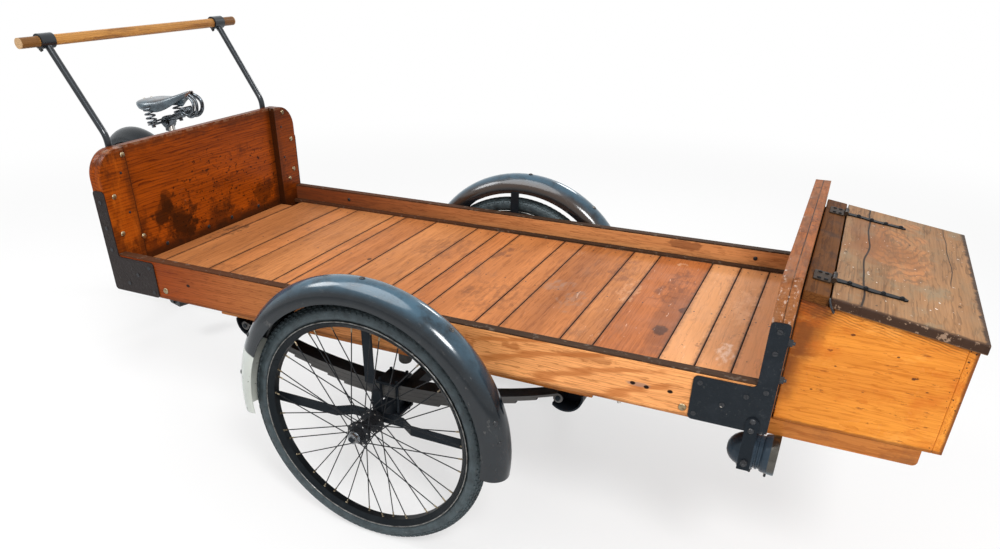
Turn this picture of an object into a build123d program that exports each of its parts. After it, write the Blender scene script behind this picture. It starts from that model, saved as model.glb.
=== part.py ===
from build123d import *
import os
from math import acos, asin, atan2, cos, degrees, hypot, radians, sin, sqrt

# Front-loading carrier tricycle, in millimetres.
# +X forward, +Y to the rider's left, +Z up. Origin on the ground, midway along the whole vehicle.
# Places along X are counted from the front axle, which the kingpin crosses at its middle,
# and places along Y from the middle plane of the load bed.
# The single rear wheel hangs on a frame that swings about the kingpin; it is parked turned.

# ---------------------------------------------------------------- driving sizes
FRONT_TYRE_R = 330.0        # outer radius of a front tyre
REAR_TYRE_R = 330.0         # outer radius of the rear tyre
TYRE_W = 48.0
RIM_DEPTH = 17.0
RIM_W = 39.0
HALF_TRACK = 483.0          # middle plane of a front wheel from the centre line
WHEELBASE = 1760.0          # kingpin to rear axle
PARKED_TURN = 16.5          # degrees that the rear frame is parked off straight

BED_W = 826.0               # over the side boards
BED_REAR = -863.0           # back face of the rear board
BED_FRONT = 910.0           # front face of the front board
SIDE_T = 24.0
SIDE_BOTTOM = 522.0
SIDE_TOP = 630.0
EDGE_T = 4.0                # dark strip along the top of a side board
FOOT_W = 20.0               # dark strip on the floor along a side board
FOOT_H = 6.0
FOOT_SINK = 4.0             # the strip is let into the ends of the slats
FLOOR_TOP = 577.0
SLAT_T = 20.0
SLAT_GAP = 2.0
SLAT_WIDTHS = (50, 162, 74, 145, 46, 113, 150, 78, 68, 149, 62, 154, 78, 149, 78, 76, 61)
BEARER_Y = 340.0            # middle of the long bearers, spring rails and springs
BEARER_W = 44.0
RAIL_BOTTOM = 485.0
RAIL_HALF = 535.0
BUMP_X = 38.0
BUMP_R = 17.0
BUMP_H = 32.0

REAR_BOARD_TOP = 898.0
PANEL_T = 20.0
CLEAT_T = 20.0
CLEAT_W = 95.0
REAR_CORNER_R = 70.0
FRONT_BOARD_TOP = 840.0
FRONT_BOARD_T = 37.0
FRONT_CORNER_R = 42.0
PLATE_T = 3.0               # corner plates
PLATE_CORNER_R = 9.0
PLATE_H = 100.0
REAR_PLATE_LONG = 164.0
REAR_PLATE_TOP = 800.0
FRONT_PLATE_LONG = 157.0
FRONT_PLATE_TOP = 763.0

CHEST_W = 662.0
CHEST_GAP = 3.0             # chest back to the front board
CHEST_FRONT = 1224.0
CHEST_BOTTOM = 514.5
CHEST_TOP_REAR = 804.0      # top of the lid line at the back
CHEST_TOP_FRONT = 756.0     # top of the lid line at the front
CHEST_T = 18.0
LID_T = 20.0
LID_LIP = 10.0              # lid past the front of the chest
LID_SIDE_LIP = 6.0
HINGE_X = 962.0             # hinge line of the chest lid
HINGE_Y = 240.0
HINGE_R = 5.0
LEAF_LONG = 52.0            # fixed leaf of a hinge, along the hinge line
STRAP_LONG = 138.0
STRAP_W = 26.0
STRAP_T = 3.0
RUNNER_Y = 309.0
RUNNER_W = 44.0
RUNNER_H = 36.0
RUNNER_REAR = 560.0
RUNNER_FRONT = 1190.0
RUNNER_NOSE_R = 10.0

LEAF_T = 6.0
LEAF_COUNT = 7
LEAF_W = 45.0
LEAF_STEP = 52.0
EYE_X = 455.0
EYE_Z = 465.0
EYE_R = 12.0
EYE_PIN_R = 6.0
HANGER_REAR = 26.0          # a spring hanger behind its eye
HANGER_FRONT = 60.0         # and ahead of it
HANGER_DROP = 30.0
HANGER_NOTCH = 64.0         # room for the leaves in the hanger's rim

BEAM = 32.0                 # square axle beam
STUB_R = 8.0
NUT_R = 13.0
NUT_GAP = 0.5               # hub to its nut
STUB_PAST = 16.5            # axle end past the face of the hub's nut
PAD_H = 6.0
CLAMP_ROD_R = 4.0
CLAMP_PLATE_T = 7.0
KINGPIN_R = 12.0
BOSS_R = 26.0
BOSS_HALF = 22.0

GUARD_X = 20.0              # centre of a front mudguard ahead of the axle
GUARD_RISE = 28.0           # and above it
GUARD_OUT = 14.0            # middle plane of a front mudguard outside its wheel's
FRONT_RING = 331.0          # centre circle of a front mudguard's section
REAR_GUARD_GAP = 30.0       # rear tyre's tread to the centre circle of its mudguard
GUARD_R = 45.0              # half-round section of a mudguard
GUARD_T = 1.8
GUARD_SKIRT = 8.0
FRONT_GUARD_START = -7.6    # degrees over the top from straight ahead
FRONT_GUARD_END = 186.5
STAY_T = 4.0
STAY_W = 27.0
STAY_EYE_R = 20.0
STAY_JOG_START = 75.0       # a stay steps outwards between these distances from the axle
STAY_JOG_END = 110.0

HUB_HALF = 50.0
FLANGE_AT = 31.0
FLANGE_R = 31.0
FLANGE_T = 7.0
HUB_R = 15.0
REAR_HUB_HALF = 57.0
REAR_FLANGE_AT = 30.0
SPOKES_A_SIDE = 18
SPOKE_R = 1.4
SPOKE_TURN = 62.0           # degrees a spoke runs round from its flange to the rim
SPOKE_SPREAD = 2.4
SPOKE_TIP_SPREAD = 4.0

BAR_R = 13.0
BAR_NECK_R = 12.0           # the bar is turned down where the split collars grip it
BAR_HALF = 400.0
BAR_X = -1016.0
BAR_Z = 1148.0
ARM_R = 9.0
ARM_Y = 322.0
ARM_BEND_Z = 920.0
ARM_FOOT_Z = 560.0
COLLAR_R = 18.5
COLLAR_L = 42.0
CLIP_HEIGHTS = (640.0, 860.0)
CLIP_HALF = 64.0            # half the length of a clip that holds an arm to the rear board
CLIP_H = 26.0
CLIP_T = 5.0

LAMP_R = 43.0
LAMP_Y = -365.0
LAMP_Z = 450.0
LAMP_BACK = 838.0
LAMP_FRONT = 940.0
LAMP_STRAP_X = 880.0
LAMP_STRAP_W = 25.0
LAMP_STRAP_TOP = 556.0
LAMP_STRAP_FOOT = 432.0

MAIN_TUBE_R = 21.0
SEAT_TUBE_R = 15.0
CHAIN_STAY_R = 8.0
SEAT_STAY_R = 7.0
BRACKET_AHEAD = 140.0       # crank axle ahead of the rear tyre
BRACKET_Z = 290.0
BRACKET_R = 21.0
BRACKET_HALF = 34.0
STAY_ROOT = 28.0            # chain stays from the middle plane at the bracket
SEAT_STAY_ROOT = 24.0       # seat stays from the middle plane at their tops
GUARD_EYE_T = 6.5           # eyes of the rear mudguard's stays
GUARD_ROD_R = 2.5
SEAT_SETBACK = 163.0        # top of the seat tube behind the crank axle
SEAT_Z = 745.0
SEAT_POST_R = 12.5
BRIDGE_R = 5.0
BRIDGE_SHARE = 0.14         # place of the bridge down the seat stays
REAR_GUARD_START = 60.0     # degrees over the top from straight ahead
REAR_GUARD_END = 205.0
REAR_STAY_ANGLES = (115.0, 188.0)
SEAT_POST_DEPTH = 110.0     # seat post inside the seat tube
SADDLE_Z = 800.0            # clamp of the saddle
DROPOUT_AT = 68.0
REAR_AXLE_R = 5.0
CHAIN_LINE = 50.0
CHAIN_W = 9.0
CHAIN_H = 11.0
RING_R = 89.0
SPROCKET_R = 38.0
TOOTH_CLEAR = 2.0
CRANK_LONG = 165.0
CRANK_TURN = -62.0          # right crank, degrees above straight back
SPINDLE_R = 8.0
PEDAL_LONG = 95.0
PEDAL_WIDE = 80.0
PEDAL_H = 26.0
CRANK_ARM_R = 8.5
CRANK_EYE_R = 12.0          # the eye that holds the pedal
CRANK_BOSS_R = 16.0
PEDAL_PIN_R = 5.5

SADDLE_TURN = 18.0          # degrees from the rear frame's straight ahead
SADDLE_TILT = 12.0          # nose up
SADDLE_WIRE_R = 4.5
SADDLE_PLATE_T = 9.0        # wire frame's plate over the clamp
SADDLE_UNDER = 40.0         # underside of the leather above the clamp
COIL_BEHIND = 8.0           # upright coils behind the clamp
COIL_Y = 72.0
COIL_R = 16.0
NOSE_LOOP = 188.0           # farthest point of the loops under the nose
NOSE_LOOP_Y = 12.0
# leather top from back to nose: ahead of the clamp, half width, height of the ridge
SADDLE_STATIONS = ((-86, 50, 60), (-70, 84, 63), (-40, 94, 61), (0, 88, 57), (40, 66, 55), (80, 42, 57),
                   (120, 30, 61), (150, 24, 65), (166, 14, 64))

SEAT = 0.3                  # clearance between seated pieces
SPIN = 0.05                 # radial clearance of a turning fit

# ---------------------------------------------------------------- worked out
TURN = radians(PARKED_TURN)
HALF_BED = BED_W / 2
INNER = HALF_BED - SIDE_T
PANEL_FACE = BED_REAR + PANEL_T
CLEAT_FACE = PANEL_FACE + CLEAT_T
BOARD_BACK = BED_FRONT - FRONT_BOARD_T
CHEST_REAR = BED_FRONT + CHEST_GAP
HALF_CHEST = CHEST_W / 2
CHEST_SLOPE = (CHEST_TOP_REAR - CHEST_TOP_FRONT) / (CHEST_FRONT - CHEST_REAR)
BEARER_BOTTOM = CHEST_BOTTOM
SLAT_BOTTOM = FLOOR_TOP - SLAT_T
REAR_RING = REAR_TYRE_R + REAR_GUARD_GAP
BRACKET_S = WHEELBASE - REAR_TYRE_R - BRACKET_AHEAD
SEAT_S = BRACKET_S + SEAT_SETBACK
REAR_REACH = (WHEELBASE + REAR_RING) * cos(TURN) + GUARD_R
FRONT_REACH = CHEST_FRONT + LID_LIP
AXLE_X = (REAR_REACH - FRONT_REACH) / 2
NUT_START = HALF_TRACK + HUB_HALF + NUT_GAP
STUB_END = NUT_START + STUB_PAST
GUARD_Y = HALF_TRACK + GUARD_OUT
LEFT_REACH = (WHEELBASE + REAR_RING) * sin(TURN) + GUARD_R
CENTRE_Y = (LEFT_REACH - STUB_END) / 2
AXLE_Z = FRONT_TYRE_R
BACK = Vector(-cos(TURN), sin(TURN), 0)
ACROSS = Vector(sin(TURN), cos(TURN), 0)
UP = Vector(0, 0, 1)
SPOKE_ROOT = FLANGE_R - 5

os.makedirs("parts", exist_ok=True)


def save(piece, label):
    # pieces are built about the bed's middle plane and set down midway between the far sides
    placed = piece.moved(Location((0, -CENTRE_Y, 0)))
    placed.label = label
    export_step(placed, f"parts/{label}.step")


def side_plane(y):
    # local x is X from the front axle, local y is Z, the normal is -Y
    return Plane(origin=(AXLE_X, y, 0), x_dir=(1, 0, 0), z_dir=(0, -1, 0))


def level_plane(z):
    # local x is X from the front axle, local y is Y, the normal is +Z
    return Plane(origin=(AXLE_X, 0, z), x_dir=(1, 0, 0), z_dir=(0, 0, 1))


def cross_plane(x):
    # local x is Y, local y is Z, the normal is +X
    return Plane(origin=(AXLE_X + x, 0, 0), x_dir=(0, 1, 0), z_dir=(1, 0, 0))


def frame_point(s, n, z):
    # a point of the rear frame: s behind the kingpin, n to its left, z up
    return Vector(AXLE_X, 0, 0) + BACK * s + ACROSS * n + UP * z


def frame_side(n):
    # local x is s, local y is Z, and the plane stands n to the left of the frame's middle
    return Plane(origin=frame_point(0, n, 0), x_dir=BACK, z_dir=BACK.cross(UP))


def frame_level(z):
    # local x is s, local y is -n, the normal is +Z
    return Plane(origin=frame_point(0, 0, z), x_dir=BACK, z_dir=UP)


def lid_top(x):
    # height of the chest's top surface at x
    return CHEST_TOP_REAR - (x - CHEST_REAR) * CHEST_SLOPE


def wheel_plane(origin, outward, forward):
    return Plane(origin=origin, x_dir=forward, z_dir=outward)


def section_plane(wheel, angle=0.0):
    # half-plane through the wheel's axis: local x is the radius, local y runs along the axle
    radial = wheel.x_dir * cos(radians(angle)) + wheel.y_dir * sin(radians(angle))
    return Plane(origin=wheel.origin, x_dir=radial, z_dir=radial.cross(wheel.z_dir))


def axis_of(wheel):
    return Axis(wheel.origin, wheel.z_dir)


RIGHT_WHEEL = wheel_plane((AXLE_X, -HALF_TRACK, AXLE_Z), (0, -1, 0), (1, 0, 0))
LEFT_WHEEL = wheel_plane((AXLE_X, HALF_TRACK, AXLE_Z), (0, 1, 0), (1, 0, 0))
RIGHT_GUARD = wheel_plane((AXLE_X + GUARD_X, -GUARD_Y, AXLE_Z + GUARD_RISE), (0, -1, 0), (1, 0, 0))
REAR_WHEEL = wheel_plane(frame_point(WHEELBASE, 0, REAR_TYRE_R), ACROSS * -1, BACK * -1)


def box_between(x_low, x_high, y_low, y_high, z_low, z_high):
    with BuildSketch(level_plane(z_low)) as face:
        with Locations(((x_low + x_high) / 2, (y_low + y_high) / 2)):
            Rectangle(x_high - x_low, y_high - y_low)
    extrude(face.sketch, amount=z_high - z_low)


def rod(start, end, radius, keep=Mode.ADD):
    line = end - start
    with BuildSketch(Plane(origin=start, z_dir=line)) as face:
        Circle(radius)
    extrude(face.sketch, amount=line.length, mode=keep)


# ---------------------------------------------------------------- load bed
with BuildPart() as side_boards:
    box_between(CLEAT_FACE, BOARD_BACK, INNER, HALF_BED, SIDE_BOTTOM, SIDE_TOP - EDGE_T)
    mirror(about=Plane.XZ)
save(side_boards.part, "side_boards")

with BuildPart() as edge_strips:
    box_between(CLEAT_FACE, BOARD_BACK, INNER, HALF_BED, SIDE_TOP - EDGE_T, SIDE_TOP)
    box_between(CLEAT_FACE, BOARD_BACK, INNER - FOOT_W, INNER - SEAT, FLOOR_TOP - FOOT_SINK,
                FLOOR_TOP + FOOT_H)
    mirror(about=Plane.XZ)
save(edge_strips.part, "edge_strips")

floor_length = BOARD_BACK - PANEL_FACE
slat_scale = floor_length / sum(SLAT_WIDTHS)
with BuildPart() as floor_slats:
    edge = PANEL_FACE
    for width in SLAT_WIDTHS:
        next_edge = edge + width * slat_scale
        inner_half = INNER if edge > CLEAT_FACE else HALF_BED - CLEAT_W - SEAT
        box_between(edge + SLAT_GAP / 2, next_edge - SLAT_GAP / 2, -inner_half, inner_half,
                    SLAT_BOTTOM, FLOOR_TOP)
        edge = next_edge
    rebate_low = FLOOR_TOP - FOOT_SINK - SEAT
    with BuildSketch(level_plane(rebate_low)):
        with Locations(((CLEAT_FACE + BOARD_BACK) / 2, INNER), ((CLEAT_FACE + BOARD_BACK) / 2, -INNER)):
            Rectangle(BOARD_BACK - CLEAT_FACE + 2 * SEAT, 2 * (FOOT_W + SEAT))
    extrude(amount=FOOT_SINK + 2 * SEAT, mode=Mode.SUBTRACT)
save(floor_slats.part, "floor_slats")

with BuildPart() as floor_bearers:
    for middle in (-BEARER_Y, 0, BEARER_Y):
        box_between(CLEAT_FACE, BOARD_BACK, middle - BEARER_W / 2, middle + BEARER_W / 2,
                    BEARER_BOTTOM, SLAT_BOTTOM)
save(floor_bearers.part, "floor_bearers")

with BuildPart() as spring_rails:
    box_between(-RAIL_HALF, RAIL_HALF, BEARER_Y - BEARER_W / 2, BEARER_Y + BEARER_W / 2,
                RAIL_BOTTOM, BEARER_BOTTOM)
    mirror(about=Plane.XZ)
save(spring_rails.part, "spring_rails")

with BuildPart() as bump_stops:
    with BuildSketch(level_plane(RAIL_BOTTOM)):
        with Locations((BUMP_X, BEARER_Y), (BUMP_X, -BEARER_Y)):
            Circle(BUMP_R)
    extrude(amount=-BUMP_H)
    fillet(bump_stops.faces().group_by(Axis.Z)[0].edges(), BUMP_R * 0.6)
save(bump_stops.part, "bump_stops")


def cross_board(x, thickness, top, corner):
    # a board that stands across the bed with both upper corners rounded
    with BuildSketch(cross_plane(x)) as face:
        with BuildLine():
            FilletPolyline((-HALF_BED, SIDE_BOTTOM), (-HALF_BED, top), (HALF_BED, top),
                           (HALF_BED, SIDE_BOTTOM), radius=corner)
            Line((HALF_BED, SIDE_BOTTOM), (-HALF_BED, SIDE_BOTTOM))
        make_face()
    extrude(face.sketch, amount=thickness)


with BuildPart() as rear_board_panel:
    cross_board(BED_REAR, PANEL_T, REAR_BOARD_TOP, REAR_CORNER_R)
save(rear_board_panel.part, "rear_board_panel")

with BuildPart() as rear_board_cleats:
    cross_board(PANEL_FACE, CLEAT_T, REAR_BOARD_TOP, REAR_CORNER_R)
    between_cleats = HALF_BED - CLEAT_W
    with BuildSketch(cross_plane(PANEL_FACE)):
        with Locations((0, REAR_BOARD_TOP / 2)):
            Rectangle(2 * between_cleats, REAR_BOARD_TOP + 2)
    extrude(amount=CLEAT_T, mode=Mode.SUBTRACT)
save(rear_board_cleats.part, "rear_board_cleats")

with BuildPart() as front_board:
    cross_board(BOARD_BACK, FRONT_BOARD_T, FRONT_BOARD_TOP, FRONT_CORNER_R)
save(front_board.part, "front_board")


def corner_plate(corner_x, foot_x, arm_x, top):
    # L-shaped iron plate on the outer face of a side board and the edge of a cross board
    low = SIDE_BOTTOM
    with BuildSketch(side_plane(-HALF_BED)) as face:
        with BuildLine():
            Polyline((corner_x, low), (foot_x, low), (foot_x, low + PLATE_H), (arm_x, low + PLATE_H),
                     (arm_x, top), (corner_x, top), (corner_x, low))
        make_face()
        fillet(face.vertices(), PLATE_CORNER_R)
    extrude(face.sketch, amount=PLATE_T)


with BuildPart() as corner_plates:
    corner_plate(BED_REAR, BED_REAR + REAR_PLATE_LONG, CLEAT_FACE, REAR_PLATE_TOP)
    corner_plate(BED_FRONT, BED_FRONT - FRONT_PLATE_LONG, BOARD_BACK, FRONT_PLATE_TOP)
    mirror(about=Plane.XZ)
save(corner_plates.part, "corner_plates")

# ---------------------------------------------------------------- push bar
with BuildPart() as push_bar:
    with BuildSketch(side_plane(BAR_HALF)):
        with Locations((BAR_X, BAR_Z)):
            Circle(BAR_R)
    extrude(amount=2 * BAR_HALF)
    for middle in (-ARM_Y, ARM_Y):
        with BuildSketch(side_plane(middle + COLLAR_L / 2 + SEAT)):
            with Locations((BAR_X, BAR_Z)):
                Circle(BAR_R + 1)
                Circle(BAR_NECK_R, mode=Mode.SUBTRACT)
        extrude(amount=COLLAR_L + 2 * SEAT, mode=Mode.SUBTRACT)
save(push_bar.part, "push_bar")

arm_x = BED_REAR - ARM_R - SEAT
with BuildPart() as push_bar_arms:
    bar_point = Vector(AXLE_X + BAR_X, ARM_Y, BAR_Z)
    bend_point = Vector(AXLE_X + arm_x, ARM_Y, ARM_BEND_Z)
    foot_point = Vector(AXLE_X + arm_x, ARM_Y, ARM_FOOT_Z)
    with BuildLine() as arm_path:
        FilletPolyline(bar_point, bend_point, foot_point, radius=60)
    with BuildSketch(Plane(origin=bar_point, z_dir=bend_point - bar_point)):
        Circle(ARM_R)
    sweep(path=arm_path.line)
    with BuildSketch(side_plane(ARM_Y + COLLAR_L / 2)):
        with Locations((BAR_X, BAR_Z)):
            Circle(COLLAR_R)
    extrude(amount=COLLAR_L)
    for middle in CLIP_HEIGHTS:
        box_between(BED_REAR - SEAT - CLIP_T, BED_REAR - SEAT, ARM_Y - CLIP_HALF, ARM_Y + CLIP_HALF,
                    middle - CLIP_H / 2, middle + CLIP_H / 2)
        with BuildSketch(level_plane(middle - CLIP_H / 2)):
            with Locations((arm_x, ARM_Y)):
                Circle(ARM_R + CLIP_T)
            with Locations((BED_REAR - SEAT + 20, ARM_Y)):
                Rectangle(40, 4 * ARM_R, mode=Mode.SUBTRACT)
        extrude(amount=CLIP_H)
    with BuildSketch(side_plane(ARM_Y + COLLAR_L / 2)):
        with Locations((BAR_X, BAR_Z)):
            Circle(BAR_NECK_R + SEAT)
    extrude(amount=COLLAR_L, mode=Mode.SUBTRACT)
    mirror(about=Plane.XZ)
save(push_bar_arms.part, "push_bar_arms")

# ---------------------------------------------------------------- chest
side_drop = LID_T + SEAT
chest_inner_rear = CHEST_REAR + CHEST_T
chest_inner_front = CHEST_FRONT - CHEST_T


def chest_wall(x_low, x_high, y_low, y_high, bottom):
    # a wall of the chest, its top edge following the slope under the lid
    with BuildSketch(side_plane(y_high)) as face:
        with BuildLine():
            Polyline((x_low, bottom), (x_high, bottom), (x_high, lid_top(x_high) - side_drop),
                     (x_low, lid_top(x_low) - side_drop), (x_low, bottom))
        make_face()
    extrude(face.sketch, amount=y_high - y_low)


with BuildPart() as chest_sides:
    chest_wall(CHEST_REAR, chest_inner_front, HALF_CHEST - CHEST_T, HALF_CHEST, CHEST_BOTTOM)
    mirror(about=Plane.XZ)
save(chest_sides.part, "chest_sides")

with BuildPart() as chest_ends:
    chest_wall(CHEST_REAR, chest_inner_rear, CHEST_T - HALF_CHEST, HALF_CHEST - CHEST_T, CHEST_BOTTOM)
    chest_wall(chest_inner_front, CHEST_FRONT, -HALF_CHEST, HALF_CHEST, CHEST_BOTTOM)
save(chest_ends.part, "chest_ends")

with BuildPart() as chest_floor:
    box_between(chest_inner_rear, chest_inner_front, CHEST_T - HALF_CHEST, HALF_CHEST - CHEST_T,
                CHEST_BOTTOM, CHEST_BOTTOM + CHEST_T)
save(chest_floor.part, "chest_floor")


def top_board(x_low, x_high, half_width):
    # a board lying on the slope of the chest
    with BuildSketch(side_plane(half_width)) as face:
        with BuildLine():
            Polyline((x_low, lid_top(x_low) - LID_T), (x_high, lid_top(x_high) - LID_T),
                     (x_high, lid_top(x_high)), (x_low, lid_top(x_low)),
                     (x_low, lid_top(x_low) - LID_T))
        make_face()
    extrude(face.sketch, amount=2 * half_width)


lid_gap = 1.5
with BuildPart() as chest_top_strip:
    top_board(CHEST_REAR, HINGE_X - lid_gap, HALF_CHEST + LID_SIDE_LIP)
save(chest_top_strip.part, "chest_top_strip")

with BuildPart() as chest_lid:
    top_board(HINGE_X + lid_gap, CHEST_FRONT + LID_LIP, HALF_CHEST + LID_SIDE_LIP)
save(chest_lid.part, "chest_lid")

with BuildPart() as chest_runners:
    box_between(RUNNER_REAR, RUNNER_FRONT, RUNNER_Y - RUNNER_W / 2, RUNNER_Y + RUNNER_W / 2,
                CHEST_BOTTOM - RUNNER_H, CHEST_BOTTOM)
    lower_edges = chest_runners.edges().filter_by(Axis.Y).group_by(Axis.Z)[0]
    fillet(lower_edges.group_by(Axis.X)[-1], RUNNER_NOSE_R)
    mirror(about=Plane.XZ)
save(chest_runners.part, "chest_runners")

hinge_z = lid_top(HINGE_X) + HINGE_R + 1
leaf_side = 38.0
knuckle_mid = 16.0
knuckle_end = 11.0
knuckle_gap = 0.4
pin_r = 2.4


def knuckle(y_high, length, hole):
    with BuildSketch(side_plane(y_high)) as face:
        with Locations((HINGE_X, hinge_z)):
            Circle(HINGE_R)
            if hole:
                Circle(hole, mode=Mode.SUBTRACT)
    extrude(face.sketch, amount=length)


def flap(x_low, x_high, y_middle, width):
    # flat iron lying on the slope beside the hinge line
    with BuildSketch(side_plane(y_middle + width / 2)) as face:
        with BuildLine():
            Polyline((x_low, lid_top(x_low)), (x_high, lid_top(x_high)),
                     (x_high, lid_top(x_high) + STRAP_T), (x_low, lid_top(x_low) + STRAP_T),
                     (x_low, lid_top(x_low)))
        make_face()
    extrude(face.sketch, amount=width)


with BuildPart() as hinge_leaves:
    for middle in (-HINGE_Y, HINGE_Y):
        wide = knuckle_mid + 2 * (knuckle_end + knuckle_gap)
        flap(HINGE_X - leaf_side, HINGE_X - HINGE_R - 1, middle, LEAF_LONG)
        for side in (-1, 1):
            end_middle = middle + side * (wide - knuckle_end) / 2
            flap(HINGE_X - HINGE_R - 2, HINGE_X, end_middle, knuckle_end)
            knuckle(end_middle + knuckle_end / 2, knuckle_end, None)
        with BuildSketch(side_plane(middle + wide / 2)):
            with Locations((HINGE_X, hinge_z)):
                Circle(pin_r)
        extrude(amount=wide)
save(hinge_leaves.part, "hinge_leaves")

with BuildPart() as lid_straps:
    for middle in (-HINGE_Y, HINGE_Y):
        flap(HINGE_X, HINGE_X + HINGE_R + 3, middle, knuckle_mid)
        flap(HINGE_X + HINGE_R + 2, HINGE_X + STRAP_LONG, middle, STRAP_W)
        knuckle(middle + knuckle_mid / 2, knuckle_mid, pin_r + SPIN)
save(lid_straps.part, "lid_straps")

# ---------------------------------------------------------------- springs and front axle
beam_half = BEAM / 2
spring_seat = AXLE_Z + beam_half + PAD_H
leaf_end = EYE_Z + EYE_R - LEAF_T / 2
leaf_middle = spring_seat + (LEAF_COUNT - 0.5) * LEAF_T
sag = leaf_end - leaf_middle
SPRING_R = (EYE_X ** 2 + sag ** 2) / (2 * sag)
spring_centre = leaf_middle + SPRING_R


def leaf(index, half_length, width):
    # one arc of the pack, index 0 at the bottom
    inner = spring_centre - spring_seat - (index + 1) * LEAF_T
    outer = inner + LEAF_T
    reach = asin(half_length / outer)
    start = (inner * sin(reach), spring_centre - inner * cos(reach))
    end = (outer * sin(reach), spring_centre - outer * cos(reach))
    with BuildSketch(side_plane(BEARER_Y + width / 2)) as face:
        with BuildLine():
            ThreePointArc((-start[0], start[1]), (0, spring_centre - inner), start)
            Line(start, end)
            ThreePointArc(end, (0, spring_centre - outer), (-end[0], end[1]))
            Line((-end[0], end[1]), (-start[0], start[1]))
        make_face()
    extrude(face.sketch, amount=width)


with BuildPart() as leaf_springs:
    for index in range(LEAF_COUNT):
        narrow = 1.4 * (index % 2)
        leaf(index, EYE_X - LEAF_STEP * (LEAF_COUNT - 1 - index), LEAF_W - narrow)
    with BuildSketch(side_plane(BEARER_Y + LEAF_W / 2)):
        with Locations((EYE_X, EYE_Z), (-EYE_X, EYE_Z)):
            Circle(EYE_R)
    extrude(amount=LEAF_W)
    with BuildSketch(side_plane(BEARER_Y + LEAF_W / 2)):
        with Locations((EYE_X, EYE_Z), (-EYE_X, EYE_Z)):
            Circle(EYE_PIN_R + SEAT)
    extrude(amount=LEAF_W, mode=Mode.SUBTRACT)
    mirror(about=Plane.XZ)
save(leaf_springs.part, "leaf_springs")

hanger_cheek = 6.0
hanger_rim = 4.0
hanger_out = BEARER_Y + LEAF_W / 2 + 3
hanger_in = BEARER_Y - LEAF_W / 2 - 3


def hanger(sign):
    # a D-shaped cheek on the inner side of the eye, a rim round its lower edge, and the eye's pin
    eye_x = sign * EYE_X
    rear_x = eye_x - HANGER_REAR
    low = (eye_x + (HANGER_FRONT - HANGER_REAR) / 2, EYE_Z - HANGER_DROP)
    front_x = eye_x + HANGER_FRONT
    with BuildSketch(side_plane(hanger_in)) as cheek:
        with BuildLine():
            ThreePointArc((rear_x, RAIL_BOTTOM), low, (front_x, RAIL_BOTTOM))
            Line((front_x, RAIL_BOTTOM), (rear_x, RAIL_BOTTOM))
        make_face()
    extrude(cheek.sketch, amount=hanger_cheek)
    with BuildSketch(side_plane(hanger_out)) as band:
        with BuildLine():
            ThreePointArc((rear_x, RAIL_BOTTOM), low, (front_x, RAIL_BOTTOM))
            Line((front_x, RAIL_BOTTOM), (rear_x, RAIL_BOTTOM))
        make_face()
        with BuildLine():
            ThreePointArc((rear_x + hanger_rim, RAIL_BOTTOM), (low[0], low[1] + hanger_rim),
                          (front_x - hanger_rim, RAIL_BOTTOM))
            Line((front_x - hanger_rim, RAIL_BOTTOM), (rear_x + hanger_rim, RAIL_BOTTOM))
        make_face(mode=Mode.SUBTRACT)
        with Locations((sign * (EYE_X - HANGER_NOTCH / 2 - EYE_R), RAIL_BOTTOM)):
            Rectangle(HANGER_NOTCH, 2 * (RAIL_BOTTOM - EYE_Z + HANGER_DROP), mode=Mode.SUBTRACT)
    extrude(band.sketch, amount=hanger_out - hanger_in)
    with BuildSketch(side_plane(hanger_out)) as pin:
        with Locations((eye_x, EYE_Z)):
            Circle(EYE_PIN_R)
    extrude(pin.sketch, amount=hanger_out - hanger_in)


with BuildPart() as spring_hangers:
    hanger(1)
    hanger(-1)
    mirror(about=Plane.XZ)
save(spring_hangers.part, "spring_hangers")

hub_inner = HALF_TRACK - HUB_HALF
jog_in = hub_inner - 9.0    # inner face of a stay at the axle
beam_end = jog_in - SEAT
with BuildPart() as front_axle:
    box_between(-beam_half, beam_half, -beam_end, beam_end, AXLE_Z - beam_half, AXLE_Z + beam_half)
    for sign in (-1, 1):
        box_between(-30, 30, sign * BEARER_Y - LEAF_W / 2, sign * BEARER_Y + LEAF_W / 2,
                    AXLE_Z + beam_half, spring_seat - SEAT)
    with BuildSketch(side_plane(STUB_END)):
        with Locations((0, AXLE_Z)):
            Circle(STUB_R)
    extrude(amount=2 * STUB_END)
    with BuildSketch(side_plane(NUT_START + 11)):
        with Locations((0, AXLE_Z)):
            RegularPolygon(NUT_R, 6)
    extrude(amount=11)
    with BuildSketch(side_plane(-NUT_START)):
        with Locations((0, AXLE_Z)):
            RegularPolygon(NUT_R, 6)
    extrude(amount=11)
    with BuildSketch(level_plane(AXLE_Z - BOSS_HALF)):
        Circle(BOSS_R)
    extrude(amount=2 * BOSS_HALF)
    lug_t = 13.0
    pin_half = BOSS_HALF + lug_t + 15.5
    with BuildSketch(level_plane(AXLE_Z - pin_half)):
        Circle(KINGPIN_R)
    extrude(amount=2 * pin_half)
    for low in (AXLE_Z - pin_half + 3, AXLE_Z + pin_half - 14):
        with BuildSketch(level_plane(low)):
            RegularPolygon(KINGPIN_R + 8, 6)
        extrude(amount=11)
save(front_axle.part, "front_axle")

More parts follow.
